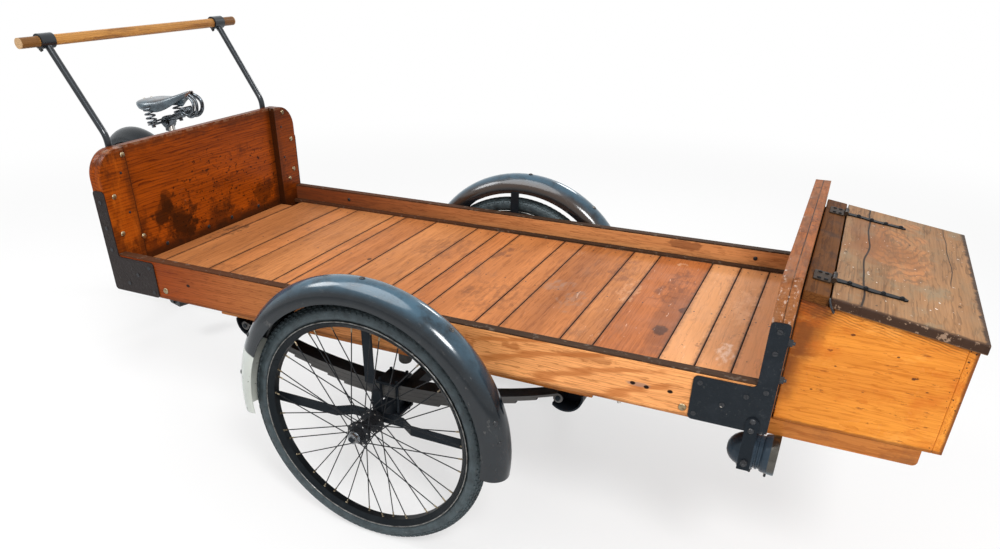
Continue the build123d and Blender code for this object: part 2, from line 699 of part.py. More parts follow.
clamp_x = beam_half + CLAMP_ROD_R + 4
clamp_y = LEAF_W / 2 + CLAMP_ROD_R + 1
clamp_half = clamp_x + CLAMP_ROD_R + 5
pack_top = spring_seat + LEAF_COUNT * LEAF_T + SEAT + clamp_half ** 2 / (2 * SPRING_R)
beam_low = AXLE_Z - beam_half - SEAT
with BuildPart() as axle_clamps:
    for low in (pack_top, beam_low - CLAMP_PLATE_T):
        box_between(-clamp_half, clamp_half, BEARER_Y - clamp_y - 9, BEARER_Y + clamp_y + 9,
                    low, low + CLAMP_PLATE_T)
    with BuildSketch(level_plane(beam_low - CLAMP_PLATE_T - 9)):
        with Locations((0, BEARER_Y)):
            with GridLocations(2 * clamp_x, 2 * clamp_y, 2, 2):
                Circle(CLAMP_ROD_R)
    extrude(amount=pack_top - beam_low + 2 * CLAMP_PLATE_T + 18)
    mirror(about=Plane.XZ)
save(axle_clamps.part, "axle_clamps")

# ---------------------------------------------------------------- mudguards


def guard(wheel, ring, start, end):
    # half-round shell with short straight skirts, from the start angle to the end angle
    with BuildSketch(section_plane(wheel, start)) as section:
        with BuildLine():
            for radius in (GUARD_R, GUARD_R - GUARD_T):
                ThreePointArc((ring, -radius), (ring + radius, 0), (ring, radius))
                Line((ring, radius), (ring - GUARD_SKIRT, radius))
                Line((ring, -radius), (ring - GUARD_SKIRT, -radius))
            for sign in (-1, 1):
                Line((ring - GUARD_SKIRT, sign * GUARD_R), (ring - GUARD_SKIRT, sign * (GUARD_R - GUARD_T)))
        make_face()
    revolve(section.sketch, axis=axis_of(wheel), revolution_arc=end - start)


with BuildPart() as mudguards:
    guard(RIGHT_GUARD, FRONT_RING, FRONT_GUARD_START, FRONT_GUARD_END)
    mirror(about=Plane.XZ)
save(mudguards.part, "mudguards")

stay_out = GUARD_Y - GUARD_R - SEAT
stay_jogged = hub_inner - 5.0
stay_lip = FRONT_RING - GUARD_SKIRT / 2
stay_chord = sqrt(stay_lip ** 2 - GUARD_RISE ** 2)
stay_rear = GUARD_X - stay_chord
stay_front = GUARD_X + stay_chord
stay_height = GUARD_RISE + sqrt(stay_lip ** 2 - GUARD_X ** 2)
with BuildPart() as mudguard_stays:
    with BuildSketch(level_plane(AXLE_Z - STAY_W / 2)):
        with BuildLine():
            for face in (0, -STAY_T):
                Polyline((stay_rear, stay_out + face), (-STAY_JOG_END, stay_out + face),
                         (-STAY_JOG_START, stay_jogged + face), (STAY_JOG_START, stay_jogged + face),
                         (STAY_JOG_END, stay_out + face), (stay_front, stay_out + face))
            Line((stay_rear, stay_out), (stay_rear, stay_out - STAY_T))
            Line((stay_front, stay_out), (stay_front, stay_out - STAY_T))
        make_face()
    extrude(amount=STAY_W)
    with BuildSketch(cross_plane(-STAY_W / 2)):
        with BuildLine():
            for face in (0, -STAY_T):
                Polyline((stay_jogged + face, AXLE_Z), (stay_jogged + face, AXLE_Z + STAY_JOG_START),
                         (stay_out + face, AXLE_Z + STAY_JOG_END), (stay_out + face, AXLE_Z + stay_height))
            Line((stay_jogged, AXLE_Z), (stay_jogged - STAY_T, AXLE_Z))
            Line((stay_out, AXLE_Z + stay_height), (stay_out - STAY_T, AXLE_Z + stay_height))
        make_face()
    extrude(amount=STAY_W)
    with BuildSketch(side_plane(stay_jogged)):
        with Locations((0, AXLE_Z)):
            Circle(STAY_EYE_R)
    extrude(amount=STAY_T)
    with BuildSketch(side_plane(stay_jogged + 1)):
        with Locations((0, AXLE_Z)):
            Circle(STUB_R + SEAT)
    extrude(amount=STAY_T + 2, mode=Mode.SUBTRACT)
    mirror(about=Plane.XZ)
save(mudguard_stays.part, "mudguard_stays")

# ---------------------------------------------------------------- headlamp
lamp_axis = Axis((AXLE_X, LAMP_Y, LAMP_Z), (1, 0, 0))
lamp_plane = Plane(origin=(AXLE_X, LAMP_Y, LAMP_Z), x_dir=(1, 0, 0), z_dir=(0, -1, 0))
lamp_wall = 1.5
rim_long = 16.0
strap_out = -HALF_BED - PLATE_T - SEAT
with BuildPart() as headlamp_shell:
    with BuildSketch(lamp_plane):
        with BuildLine():
            for wall in (0, lamp_wall):
                ThreePointArc((LAMP_BACK + wall, 0), (LAMP_BACK + 12 + wall, LAMP_R * 0.62),
                              (LAMP_BACK + 48, LAMP_R - 4 - wall))
                Line((LAMP_BACK + 48, LAMP_R - 4 - wall), (LAMP_FRONT - rim_long, LAMP_R - 4 - wall))
            Line((LAMP_BACK, 0), (LAMP_BACK + lamp_wall, 0))
            Line((LAMP_FRONT - rim_long, LAMP_R - 4), (LAMP_FRONT - rim_long, LAMP_R - 4 - lamp_wall))
        make_face()
    revolve(axis=lamp_axis)
    with BuildSketch(lamp_plane):
        with Locations((LAMP_FRONT - rim_long / 2, LAMP_R - 3)):
            Rectangle(rim_long, 6)
    revolve(axis=lamp_axis)
    rod(Vector(AXLE_X + LAMP_STRAP_X, LAMP_Y - LAMP_R + 5, LAMP_Z), Vector(AXLE_X + LAMP_STRAP_X,
        strap_out + SEAT, LAMP_Z), 6)
save(headlamp_shell.part, "headlamp_shell")

with BuildPart() as headlamp_lens:
    with BuildSketch(lamp_plane):
        with Locations((LAMP_FRONT - 7, (LAMP_R - 6 - SEAT) / 2)):
            Rectangle(4, LAMP_R - 6 - SEAT)
    revolve(axis=lamp_axis)
save(headlamp_lens.part, "headlamp_lens")

with BuildPart() as lamp_strap:
    strap_round = LAMP_STRAP_TOP - LAMP_STRAP_W / 2
    with BuildSketch(side_plane(strap_out)):
        with Locations((LAMP_STRAP_X, strap_round)):
            Circle(LAMP_STRAP_W / 2)
        with Locations((LAMP_STRAP_X, (strap_round + LAMP_STRAP_FOOT) / 2)):
            Rectangle(LAMP_STRAP_W, strap_round - LAMP_STRAP_FOOT)
    extrude(amount=STAY_T)
save(lamp_strap.part, "lamp_strap")

# ---------------------------------------------------------------- wheels


def make_tyre(wheel, radius):
    bed = radius - TYRE_W + 8
    with BuildPart() as tyre:
        with BuildSketch(section_plane(wheel)):
            with Locations((radius - TYRE_W / 2, 0)):
                Circle(TYRE_W / 2)
            with Locations((bed / 2, 0)):
                Rectangle(bed, TYRE_W + 2, mode=Mode.SUBTRACT)
        revolve(axis=axis_of(wheel))
    return tyre.part


def make_rim(wheel, radius):
    bed = radius - TYRE_W + 8 - SEAT
    with BuildPart() as rim:
        with BuildSketch(section_plane(wheel)):
            with BuildLine():
                Polyline((bed, -RIM_W / 2), (bed, RIM_W / 2), (bed - 5, RIM_W / 2),
                         (bed - RIM_DEPTH, RIM_W / 4), (bed - RIM_DEPTH, -RIM_W / 4),
                         (bed - 5, -RIM_W / 2), (bed, -RIM_W / 2))
            make_face()
        revolve(axis=axis_of(wheel))
    return rim.part


def spoke_ends(wheel, reach, flange_at, side, lead):
    # root and tip of every second spoke of one side; lead says which way it runs round
    for index in range(0, SPOKES_A_SIDE, 2):
        root_angle = radians((index + lead / 2 + 0.25 * side) * 360 / SPOKES_A_SIDE)
        tip_angle = root_angle + lead * radians(SPOKE_TURN)
        root = Vector(SPOKE_ROOT * cos(root_angle), SPOKE_ROOT * sin(root_angle),
                      side * (flange_at + lead * SPOKE_SPREAD))
        tip = Vector(reach * cos(tip_angle), reach * sin(tip_angle), side * SPOKE_TIP_SPREAD)
        yield wheel.from_local_coords(root), wheel.from_local_coords(tip)


def make_hub(wheel, radius, bore, half, flange_at, sprocket):
    rim_inside = radius - TYRE_W + 8 - SEAT - RIM_DEPTH
    with BuildPart() as hub:
        with BuildSketch(section_plane(wheel)):
            with BuildLine():
                outline = [(bore, -half), (HUB_R + 6, -half), (HUB_R + 6, -flange_at - FLANGE_T),
                           (FLANGE_R, -flange_at - FLANGE_T / 2), (FLANGE_R, -flange_at + FLANGE_T / 2),
                           (HUB_R, -flange_at + FLANGE_T), (HUB_R, flange_at - FLANGE_T),
                           (FLANGE_R, flange_at - FLANGE_T / 2), (FLANGE_R, flange_at + FLANGE_T / 2),
                           (HUB_R + 4, flange_at + FLANGE_T), (HUB_R + 4, half), (bore, half),
                           (bore, -half)]
                Polyline(*outline)
            make_face()
        revolve(axis=axis_of(wheel))
        if sprocket:
            with BuildSketch(wheel.offset(CHAIN_LINE - 1.5)):
                Circle(SPROCKET_R - CHAIN_H / 2 - TOOTH_CLEAR)
                Circle(bore, mode=Mode.SUBTRACT)
            extrude(amount=3)
        for side in (-1, 1):
            for lead in (-1, 1):
                ends = list(spoke_ends(wheel, rim_inside - SEAT, flange_at, side, lead))
                spots = [Plane(origin=start, z_dir=end - start).location for start, end in ends]
                length = (ends[0][1] - ends[0][0]).length
                with Locations(*spots):
                    Cylinder(SPOKE_R, length, align=(Align.CENTER, Align.CENTER, Align.MIN))
    return hub.part


for name, wheel in (("front_right", RIGHT_WHEEL), ("front_left", LEFT_WHEEL)):
    save(make_tyre(wheel, FRONT_TYRE_R), f"{name}_tyre")
    save(make_rim(wheel, FRONT_TYRE_R), f"{name}_rim")
    save(make_hub(wheel, FRONT_TYRE_R, STUB_R + SPIN, HUB_HALF, FLANGE_AT, False), f"{name}_spoked_hub")
save(make_tyre(REAR_WHEEL, REAR_TYRE_R), "rear_tyre")
save(make_rim(REAR_WHEEL, REAR_TYRE_R), "rear_rim")
save(make_hub(REAR_WHEEL, REAR_TYRE_R, REAR_AXLE_R + SPIN, REAR_HUB_HALF, REAR_FLANGE_AT, True),
     "rear_spoked_hub")

# ---------------------------------------------------------------- rear frame
lug_low = AXLE_Z - BOSS_HALF - 1 - lug_t
lug_high = AXLE_Z + BOSS_HALF + 1
wall_s = 58.0
bracket = frame_point(BRACKET_S, 0, BRACKET_Z)
seat_top = frame_point(SEAT_S, 0, SEAT_Z)
guard_angle = radians(REAR_GUARD_START + 3)
guard_nose = frame_point(WHEELBASE - (REAR_RING + GUARD_R - 1) * cos(guard_angle), 0,
                         REAR_TYRE_R + (REAR_RING + GUARD_R - 1) * sin(guard_angle))
stay_top = frame_point(SEAT_S - 12, 0, SEAT_Z - 28)
stay_foot = frame_point(WHEELBASE - 8, 0, REAR_TYRE_R + 12)
bridge_point = stay_top + (stay_foot - stay_top) * BRIDGE_SHARE
bridge_line = (guard_nose - bridge_point).normalized()
bridge_half = SEAT_STAY_ROOT + (DROPOUT_AT - SEAT_STAY_ROOT) * BRIDGE_SHARE
with BuildPart() as frame_tubes:
    rod(bridge_point - ACROSS * bridge_half, bridge_point + ACROSS * bridge_half, BRIDGE_R)
    for low in (lug_low, lug_high):
        with BuildSketch(frame_level(low)):
            Circle(BOSS_R)
            with Locations((wall_s / 2 + 6, 0)):
                Rectangle(wall_s + 12, 2 * MAIN_TUBE_R)
        extrude(amount=lug_t)
    with BuildSketch(frame_level(lug_low)):
        with Locations((wall_s + 6, 0)):
            Rectangle(12, 2 * MAIN_TUBE_R)
    extrude(amount=lug_high + lug_t - lug_low)
    rod(frame_point(wall_s + 6, 0, AXLE_Z), bracket, MAIN_TUBE_R)
    rod(bracket, seat_top, SEAT_TUBE_R)
    rod(frame_point(BRACKET_S, -BRACKET_HALF, BRACKET_Z), frame_point(BRACKET_S, BRACKET_HALF, BRACKET_Z),
        BRACKET_R)
    for side in (-1, 1):
        rod(frame_point(BRACKET_S + 10, side * STAY_ROOT, BRACKET_Z + 2),
            frame_point(WHEELBASE - 21, side * DROPOUT_AT, REAR_TYRE_R), CHAIN_STAY_R)
        rod(stay_top, stay_top + ACROSS * (side * SEAT_STAY_ROOT), SEAT_STAY_R)
        rod(stay_top + ACROSS * (side * SEAT_STAY_ROOT), stay_foot + ACROSS * (side * DROPOUT_AT),
            SEAT_STAY_R)
        rod(frame_point(WHEELBASE, side * (DROPOUT_AT - 4), REAR_TYRE_R),
            frame_point(WHEELBASE, side * (DROPOUT_AT + 4), REAR_TYRE_R), 22)
    rod(frame_point(BRACKET_S, -BRACKET_HALF - 1, BRACKET_Z),
        frame_point(BRACKET_S, BRACKET_HALF + 1, BRACKET_Z), SPINDLE_R + SPIN, Mode.SUBTRACT)
    rod(frame_point(0, 0, lug_low - 1), frame_point(0, 0, lug_high + lug_t + 1),
        KINGPIN_R + SPIN, Mode.SUBTRACT)
    rod(frame_point(WHEELBASE, -DROPOUT_AT - 20, REAR_TYRE_R),
        frame_point(WHEELBASE, DROPOUT_AT + 20, REAR_TYRE_R), REAR_AXLE_R + SEAT, Mode.SUBTRACT)
    tube_line = (seat_top - bracket).normalized()
    rod(seat_top - tube_line * (SEAT_POST_DEPTH + 10), seat_top + tube_line * 2, SEAT_POST_R + SEAT,
        Mode.SUBTRACT)
save(frame_tubes.part, "frame_tubes")

guard_eye = DROPOUT_AT + 4 + SEAT       # inner face of a guard stay's eye
rear_nut = guard_eye + GUARD_EYE_T + SEAT
with BuildPart() as rear_axle:
    rod(frame_point(WHEELBASE, -rear_nut - 14, REAR_TYRE_R),
        frame_point(WHEELBASE, rear_nut + 14, REAR_TYRE_R), REAR_AXLE_R)
    for side in (-1, 1):
        rod(frame_point(WHEELBASE, side * rear_nut, REAR_TYRE_R),
            frame_point(WHEELBASE, side * (rear_nut + 9), REAR_TYRE_R), 9)
save(rear_axle.part, "rear_axle")

with BuildPart() as rear_mudguard:
    guard(REAR_WHEEL, REAR_RING, REAR_GUARD_START, REAR_GUARD_END)
    for side in (-1, 1):
        eye = frame_point(WHEELBASE, side * (guard_eye + GUARD_EYE_T / 2), REAR_TYRE_R)
        root = frame_point(WHEELBASE, side * (guard_eye + GUARD_EYE_T - GUARD_ROD_R), REAR_TYRE_R)
        for angle in REAR_STAY_ANGLES:
            reach = REAR_RING - GUARD_SKIRT / 2
            tip = frame_point(WHEELBASE - reach * cos(radians(angle)), side * (GUARD_R + 2),
                              REAR_TYRE_R + reach * sin(radians(angle)))
            rod(root, tip, GUARD_ROD_R)
        rod(eye - ACROSS * (GUARD_EYE_T / 2), eye + ACROSS * (GUARD_EYE_T / 2), 11)
    rod(bridge_point + bridge_line * (BRIDGE_R + SEAT), guard_nose, 5)
    rod(frame_point(WHEELBASE, -rear_nut, REAR_TYRE_R), frame_point(WHEELBASE, rear_nut, REAR_TYRE_R),
        REAR_AXLE_R + SEAT, Mode.SUBTRACT)
save(rear_mudguard.part, "rear_mudguard")

post_top = seat_top + tube_line * ((SADDLE_Z - SEAT_Z) / tube_line.Z)
post_end = post_top - tube_line * (SEAT_POST_R / 2)
with BuildPart() as seat_post:
    rod(seat_top - tube_line * SEAT_POST_DEPTH, post_end, SEAT_POST_R)
save(seat_post.part, "seat_post")

# ---------------------------------------------------------------- saddle
saddle_level = (BACK * -1).rotate(Axis.Z, SADDLE_TURN)
saddle_ahead = saddle_level * cos(radians(SADDLE_TILT)) + UP * sin(radians(SADDLE_TILT))
saddle_left = UP.cross(saddle_level)
saddle_up = saddle_ahead.cross(saddle_left)
saddle_plane = Plane(origin=post_top, x_dir=saddle_ahead, z_dir=saddle_up)


def saddle_point(ahead, left, up):
    return post_top + saddle_ahead * ahead + saddle_left * left + saddle_up * up


clamp_r = SEAT_POST_R + 5
coil_low = SADDLE_PLATE_T - 1
with BuildPart() as saddle_springs:
    with BuildSketch(saddle_plane):
        with BuildLine():
            Polyline((-COIL_BEHIND - COIL_R, -COIL_Y), (-COIL_BEHIND - COIL_R, COIL_Y),
                     (-COIL_BEHIND + COIL_R, COIL_Y), (clamp_r + 40, clamp_r), (clamp_r + 80, NOSE_LOOP_Y),
                     (clamp_r + 80, -NOSE_LOOP_Y), (clamp_r + 40, -clamp_r), (-COIL_BEHIND + COIL_R, -COIL_Y),
                     (-COIL_BEHIND - COIL_R, -COIL_Y))
        make_face()
    extrude(amount=SADDLE_PLATE_T)
    rod(post_end - tube_line * 28, post_top + tube_line * 4, clamp_r)
    rod(post_end - tube_line * 40, post_end + tube_line * SEAT, SEAT_POST_R + SEAT, Mode.SUBTRACT)
    with BuildSketch(saddle_plane.offset(coil_low)):
        with Locations((-COIL_BEHIND, -COIL_Y), (-COIL_BEHIND, COIL_Y)):
            Circle(COIL_R)
    extrude(amount=SADDLE_UNDER - coil_low)
    for side in (-1, 1):
        loop_start = saddle_point(clamp_r + 70, side * NOSE_LOOP_Y, SADDLE_PLATE_T / 2)
        with BuildLine() as loop_path:
            FilletPolyline(loop_start, saddle_point(NOSE_LOOP, side * NOSE_LOOP_Y, 0),
                           saddle_point(NOSE_LOOP, side * NOSE_LOOP_Y, SADDLE_UNDER - SADDLE_WIRE_R),
                           saddle_point(NOSE_LOOP - 60, side * NOSE_LOOP_Y, SADDLE_UNDER - SADDLE_WIRE_R),
                           radius=14)
        with BuildSketch(Plane(origin=loop_start, z_dir=loop_path.line % 0)):
            Circle(SADDLE_WIRE_R)
        sweep(path=loop_path.line)
save(saddle_springs.part, "saddle_springs")

leather_low = SADDLE_UNDER + SEAT
leather_side = leather_low + 3
with BuildPart() as saddle_top:
    for ahead, half, ridge in SADDLE_STATIONS:
        with BuildSketch(Plane(origin=saddle_point(ahead, 0, 0), x_dir=saddle_left, z_dir=saddle_ahead)):
            with BuildLine():
                ThreePointArc((-half, leather_side), (0, ridge), (half, leather_side))
                Polyline((half, leather_side), (half, leather_low), (-half, leather_low),
                         (-half, leather_side))
            make_face()
    loft(ruled=True)
save(saddle_top.part, "saddle_top")

# ---------------------------------------------------------------- chain and cranks
ring_centre = (BRACKET_S, BRACKET_Z)
sprocket_centre = (WHEELBASE, REAR_TYRE_R)
span = hypot(sprocket_centre[0] - ring_centre[0], sprocket_centre[1] - ring_centre[1])
rise = atan2(sprocket_centre[1] - ring_centre[1], sprocket_centre[0] - ring_centre[0])
wrap = acos((RING_R - SPROCKET_R) / span)


def belt(offset, thickness, mode):
    # closed belt round the chain ring and the sprocket at a distance from the pitch line
    big = RING_R + offset
    small = SPROCKET_R + offset
    upper = rise + wrap
    lower = rise - wrap
    ring_up = (ring_centre[0] + big * cos(upper), ring_centre[1] + big * sin(upper))
    ring_low = (ring_centre[0] + big * cos(lower), ring_centre[1] + big * sin(lower))
    ring_far = (ring_centre[0] - big * cos(rise), ring_centre[1] - big * sin(rise))
    cog_up = (sprocket_centre[0] + small * cos(upper), sprocket_centre[1] + small * sin(upper))
    cog_low = (sprocket_centre[0] + small * cos(lower), sprocket_centre[1] + small * sin(lower))
    cog_far = (sprocket_centre[0] + small * cos(rise), sprocket_centre[1] + small * sin(rise))
    with BuildSketch(frame_side(-CHAIN_LINE)) as face:
        with BuildLine():
            ThreePointArc(ring_up, ring_far, ring_low)
            Line(ring_low, cog_low)
            ThreePointArc(cog_low, cog_far, cog_up)
            Line(cog_up, ring_up)
        make_face()
    extrude(face.sketch, amount=thickness / 2, both=True, mode=mode)


with BuildPart() as chain:
    belt(CHAIN_H / 2, CHAIN_W, Mode.ADD)
    belt(-CHAIN_H / 2, CHAIN_W, Mode.SUBTRACT)
save(chain.part, "chain")

crank_angle = radians(CRANK_TURN)
pedal_dir = BACK * cos(crank_angle) + UP * sin(crank_angle)
arm_at = CHAIN_LINE + 18                # middle of a crank arm from the middle plane
with BuildPart() as crank_set:
    rod(frame_point(BRACKET_S, -arm_at, BRACKET_Z), frame_point(BRACKET_S, arm_at, BRACKET_Z), SPINDLE_R)
    with BuildSketch(frame_side(-CHAIN_LINE)):
        with Locations(ring_centre):
            Circle(RING_R - CHAIN_H / 2 - TOOTH_CLEAR)
            Circle(SPINDLE_R, mode=Mode.SUBTRACT)
            with PolarLocations(48, 5):
                Circle(18, mode=Mode.SUBTRACT)
    extrude(amount=1.5, both=True)
    for side in (-1, 1):
        foot = bracket + ACROSS * (side * arm_at)
        tip = foot + pedal_dir * (CRANK_LONG * -side)
        rod(foot, tip, CRANK_ARM_R)
        rod(foot - ACROSS * 8, foot + ACROSS * 8, CRANK_BOSS_R)
        rod(tip - ACROSS * 8, tip + ACROSS * 8, CRANK_EYE_R)
        rod(tip, tip + ACROSS * (side * (PEDAL_LONG + 22)), PEDAL_PIN_R)
save(crank_set.part, "crank_set")

for name, side in (("right_pedal", -1), ("left_pedal", 1)):
    tip = bracket + ACROSS * (side * arm_at) + pedal_dir * (CRANK_LONG * -side)
    inner_end = tip + ACROSS * (side * 14)
    with BuildPart() as pedal:
        with BuildSketch(Plane(origin=inner_end, x_dir=BACK, z_dir=ACROSS * side)):
            Rectangle(PEDAL_WIDE, PEDAL_H)
            Circle(PEDAL_PIN_R + SPIN, mode=Mode.SUBTRACT)
        extrude(amount=PEDAL_LONG)
    save(pedal.part, name)
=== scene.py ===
# %% [markdown]
# # A carrier tricycle, dressed for the studio
# The engineering model gives every board, tube and wheel its true size and place.
# This lesson dresses it: timber, enamel, rubber and leather, and the small fittings
# that a maker adds last. Every length is in metres, X points forward along the load
# bed, Y to the rider's left and Z up.

# %% Loading the frame
import math
import random

import bpy
from mathutils import Matrix, Vector


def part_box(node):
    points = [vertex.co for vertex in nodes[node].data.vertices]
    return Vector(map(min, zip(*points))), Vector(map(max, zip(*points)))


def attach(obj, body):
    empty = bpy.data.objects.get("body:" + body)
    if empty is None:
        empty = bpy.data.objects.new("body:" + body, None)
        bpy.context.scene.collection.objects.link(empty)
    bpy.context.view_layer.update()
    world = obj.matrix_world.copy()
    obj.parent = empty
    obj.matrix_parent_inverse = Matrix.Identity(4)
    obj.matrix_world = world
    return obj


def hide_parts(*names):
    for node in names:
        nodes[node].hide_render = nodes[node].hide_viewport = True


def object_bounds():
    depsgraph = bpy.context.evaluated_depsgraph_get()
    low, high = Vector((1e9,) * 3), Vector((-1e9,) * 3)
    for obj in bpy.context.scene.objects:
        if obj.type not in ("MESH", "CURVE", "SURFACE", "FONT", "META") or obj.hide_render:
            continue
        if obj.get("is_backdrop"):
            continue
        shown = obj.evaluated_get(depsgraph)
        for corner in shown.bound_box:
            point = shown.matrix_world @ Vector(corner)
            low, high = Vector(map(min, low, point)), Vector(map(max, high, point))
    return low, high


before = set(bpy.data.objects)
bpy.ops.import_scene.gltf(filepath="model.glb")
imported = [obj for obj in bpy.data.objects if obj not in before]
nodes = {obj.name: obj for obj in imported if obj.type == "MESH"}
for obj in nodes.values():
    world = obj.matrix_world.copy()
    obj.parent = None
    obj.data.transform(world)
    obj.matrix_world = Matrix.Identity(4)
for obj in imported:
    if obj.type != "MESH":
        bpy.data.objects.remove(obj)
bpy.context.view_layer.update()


# %% Places
def middle(name):
    """The middle of a node's box."""
    low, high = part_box(name)
    return (Vector(low) + Vector(high)) / 2


right_hub, left_hub = middle("front_right_rim"), middle("front_left_rim")
START = Vector((right_hub.x, (right_hub.y + left_hub.y) / 2, 0))


def at(x, y, z):
    """A place counted from the front axle, the bed's middle plane and the ground."""
    return START + Vector((x, y, z))


print("front axle at", [round(v, 4) for v in START])

# %% [markdown]
# ## A short way to write materials
# A material is a tree of nodes, and wiring it by hand hides the sum it stands for.
# Here one small class wraps an output socket, so that `1 - mask` adds the Math node
# by itself, and one method adds any other node.


# %% Sockets that can be added and multiplied
class Wire:
    """One output socket of a material's node tree."""

    def __init__(self, tree, socket):
        self.tree = tree
        self.socket = socket

    def maths(self, operation, *others):
        sockets = dict(enumerate((self, *others)))
        return add_node(self.tree, "ShaderNodeMath", {"operation": operation}, sockets)

    def flipped(self, operation, other):
        return add_node(self.tree, "ShaderNodeMath", {"operation": operation}, {0: other, 1: self})

    def __add__(self, other):
        return self.maths("ADD", other)

    def __sub__(self, other):
        return self.maths("SUBTRACT", other)

    def __mul__(self, other):
        return self.maths("MULTIPLY", other)

    def __truediv__(self, other):
        return self.maths("DIVIDE", other)

    def __gt__(self, other):
        return self.maths("GREATER_THAN", other)

    def __rsub__(self, other):
        return self.flipped("SUBTRACT", other)

    def __rtruediv__(self, other):
        return self.flipped("DIVIDE", other)

    __radd__ = __add__
    __rmul__ = __mul__


def add_node(tree, kind, settings=None, sockets=None, out=0):
    """Adds one node: its settings first, then the value or link of each socket."""
    made = tree.nodes.new(kind)
    for key, value in (settings or {}).items():
        if key == "fade":
            made.color_ramp.interpolation = value
        elif key == "stops":
            ramp = made.color_ramp
            while len(ramp.elements) < len(value):
                ramp.elements.new(1.0)
            for stop, (place, colour) in zip(ramp.elements, value):
                stop.position = place
                stop.color = (*colour, 1.0)
        else:
            setattr(made, key, value)
    for key, value in (sockets or {}).items():
        if isinstance(value, Wire):
            tree.links.new(value.socket, made.inputs[key])
        else:
            made.inputs[key].default_value = value
    return Wire(tree, made.outputs[out])


# %% A finish: one material and the words to build it with
class Finish:
    """A Principled material, with short names for the nodes it uses most."""

    def __init__(self, name, **fixed):
        self.material = bpy.data.materials.new(name)
        self.material.use_nodes = True
        self.tree = self.material.node_tree
        self.shader = self.tree.nodes["Principled BSDF"]
        self.set(**fixed)

    def set(self, **values):
        """Gives the shader's sockets a value or a link, by their names in small letters."""
        for key, value in values.items():
            socket = self.shader.inputs[key.replace("_", " ").title().replace("Ior", "IOR")]
            if isinstance(value, Wire):
                self.tree.links.new(value.socket, socket)
            elif socket.type == "RGBA":
                socket.default_value = (*value, 1.0)
            else:
                socket.default_value = value

    def node(self, kind, settings=None, sockets=None, out=0):
        return add_node(self.tree, "ShaderNode" + kind, settings, sockets, out)

    def place(self):
        """Coordinates counted as at() counts them."""
        return self.node("Mapping", None, {0: self.node("TexCoord", out="Object"), 1: tuple(-START)})

    def axis(self, name):
        """The distance along one axis, as at() counts it."""
        return self.node("SeparateXYZ", None, {0: self.place()}, out=name)

    def facing(self, name):
        """How far the surface faces along one of the piece's own directions, -1 to 1."""
        return self.node("SeparateXYZ", None, {0: self.node("TexCoord", out="Normal")}, out=name)

    def stretched(self, scale):
        """Coordinates made finer along each axis by its own number."""
        return self.node("Mapping", None, {0: self.place(), 3: scale})

    def noise(self, where, scale, detail=4.0, rough=0.55, bend=0.0):
        """Cloudy noise round 0.5."""
        sockets = {"Vector": where, "Scale": scale, "Detail": detail, "Roughness": rough,
                   "Distortion": bend}
        return self.node("TexNoise", None, sockets)

    def patches(self, size, low, high, detail=4.0, rough=0.55, bend=0.0):
        """Ragged patches: noise cut between two levels; three sizes stretch it along the axes."""
        where, scale = (self.stretched(size), 1.0) if isinstance(size, tuple) else (self.place(), size)
        return self.step(self.noise(where, scale, detail, rough, bend), low, high)

    def ragged(self, name, wander, size, detail=4.0, rough=0.55):
        """A distance along an axis that wanders a little, for an edge that isn't straight."""
        return self.axis(name) + (self.noise(self.place(), size, detail, rough) - 0.5) * wander

    def wave(self, kind, direction, where, **sockets):
        """Bands or rings with a smooth rise and fall, as a value from 0 to 1."""
        settings = {"wave_type": kind, kind.lower() + "_direction": direction}
        named = {key.replace("_", " ").title(): value for key, value in sockets.items()}
        return self.node("TexWave", settings, {"Vector": where, **named}, out=1)

    def bands(self, value, stops):
        """One brightness from each (place, brightness) stop to the next."""
        spread = [(spot, (shade,) * 3) for spot, shade in stops]
        return self.node("ValToRGB", {"fade": "CONSTANT", "stops": spread}, {0: value})

    def spot(self, centre, radii, ragged, scale):
        """1 inside an egg-shaped spot with a ragged edge, 0 outside."""
        centred = self.node("Mapping", None, {0: self.place(), 1: tuple(-v for v in centre)})
        shaped = self.node("Mapping", None, {0: centred, 3: tuple(1.0 / radius for radius in radii)})
        length = self.node("VectorMath", {"operation": "LENGTH"}, {0: shaped}, out="Value")
        edge = self.noise(self.place(), scale, 4)
        return self.step(length + (edge - 0.5) * (2 * ragged), 1.0, 0.65)

    def step(self, value, low, high):
        """0 below low, 1 above high, and smooth between."""
        return self.node("MapRange", {"interpolation_type": "SMOOTHSTEP"},
                         {0: value, 1: low, 2: high, 3: 0.0, 4: 1.0})

    def mix(self, mask, below, above, how="MIX"):
        """A colour laid over another where the mask is white."""
        below, above = ((*c, 1.0) if isinstance(c, tuple) else c for c in (below, above))
        return self.node("Mix", {"data_type": "RGBA", "blend_type": how},
                         {0: mask, 6: below, 7: above}, out=2)

    def bump(self, height, strength, distance):
        """A normal that catches the light as this height would."""
        return self.node("Bump", None, {"Strength": strength, "Distance": distance, "Height": height})


def abs_wire(value):
    """The value without its sign."""
    return value.maths("ABSOLUTE")


def dress(finish, *names):
    """Gives carried-over CAD nodes a finish."""
    for name in names:
        data = nodes[name].data
        data.materials.clear()
        data.materials.append(finish.material)


print("finishes are written in words, for", len(nodes), "nodes to be dressed")

# %% [markdown]
# ## Camera, floor and light
# The camera stands at the right front of the tricycle, above the height of the load
# bed and looking down along it. A wide plain floor takes the shadow. The white that
# metal and glass reflect comes from Light Path: rays that leave the camera, a mirror
# or a lens see a white world, and only the diffuse light is held at a studio level.

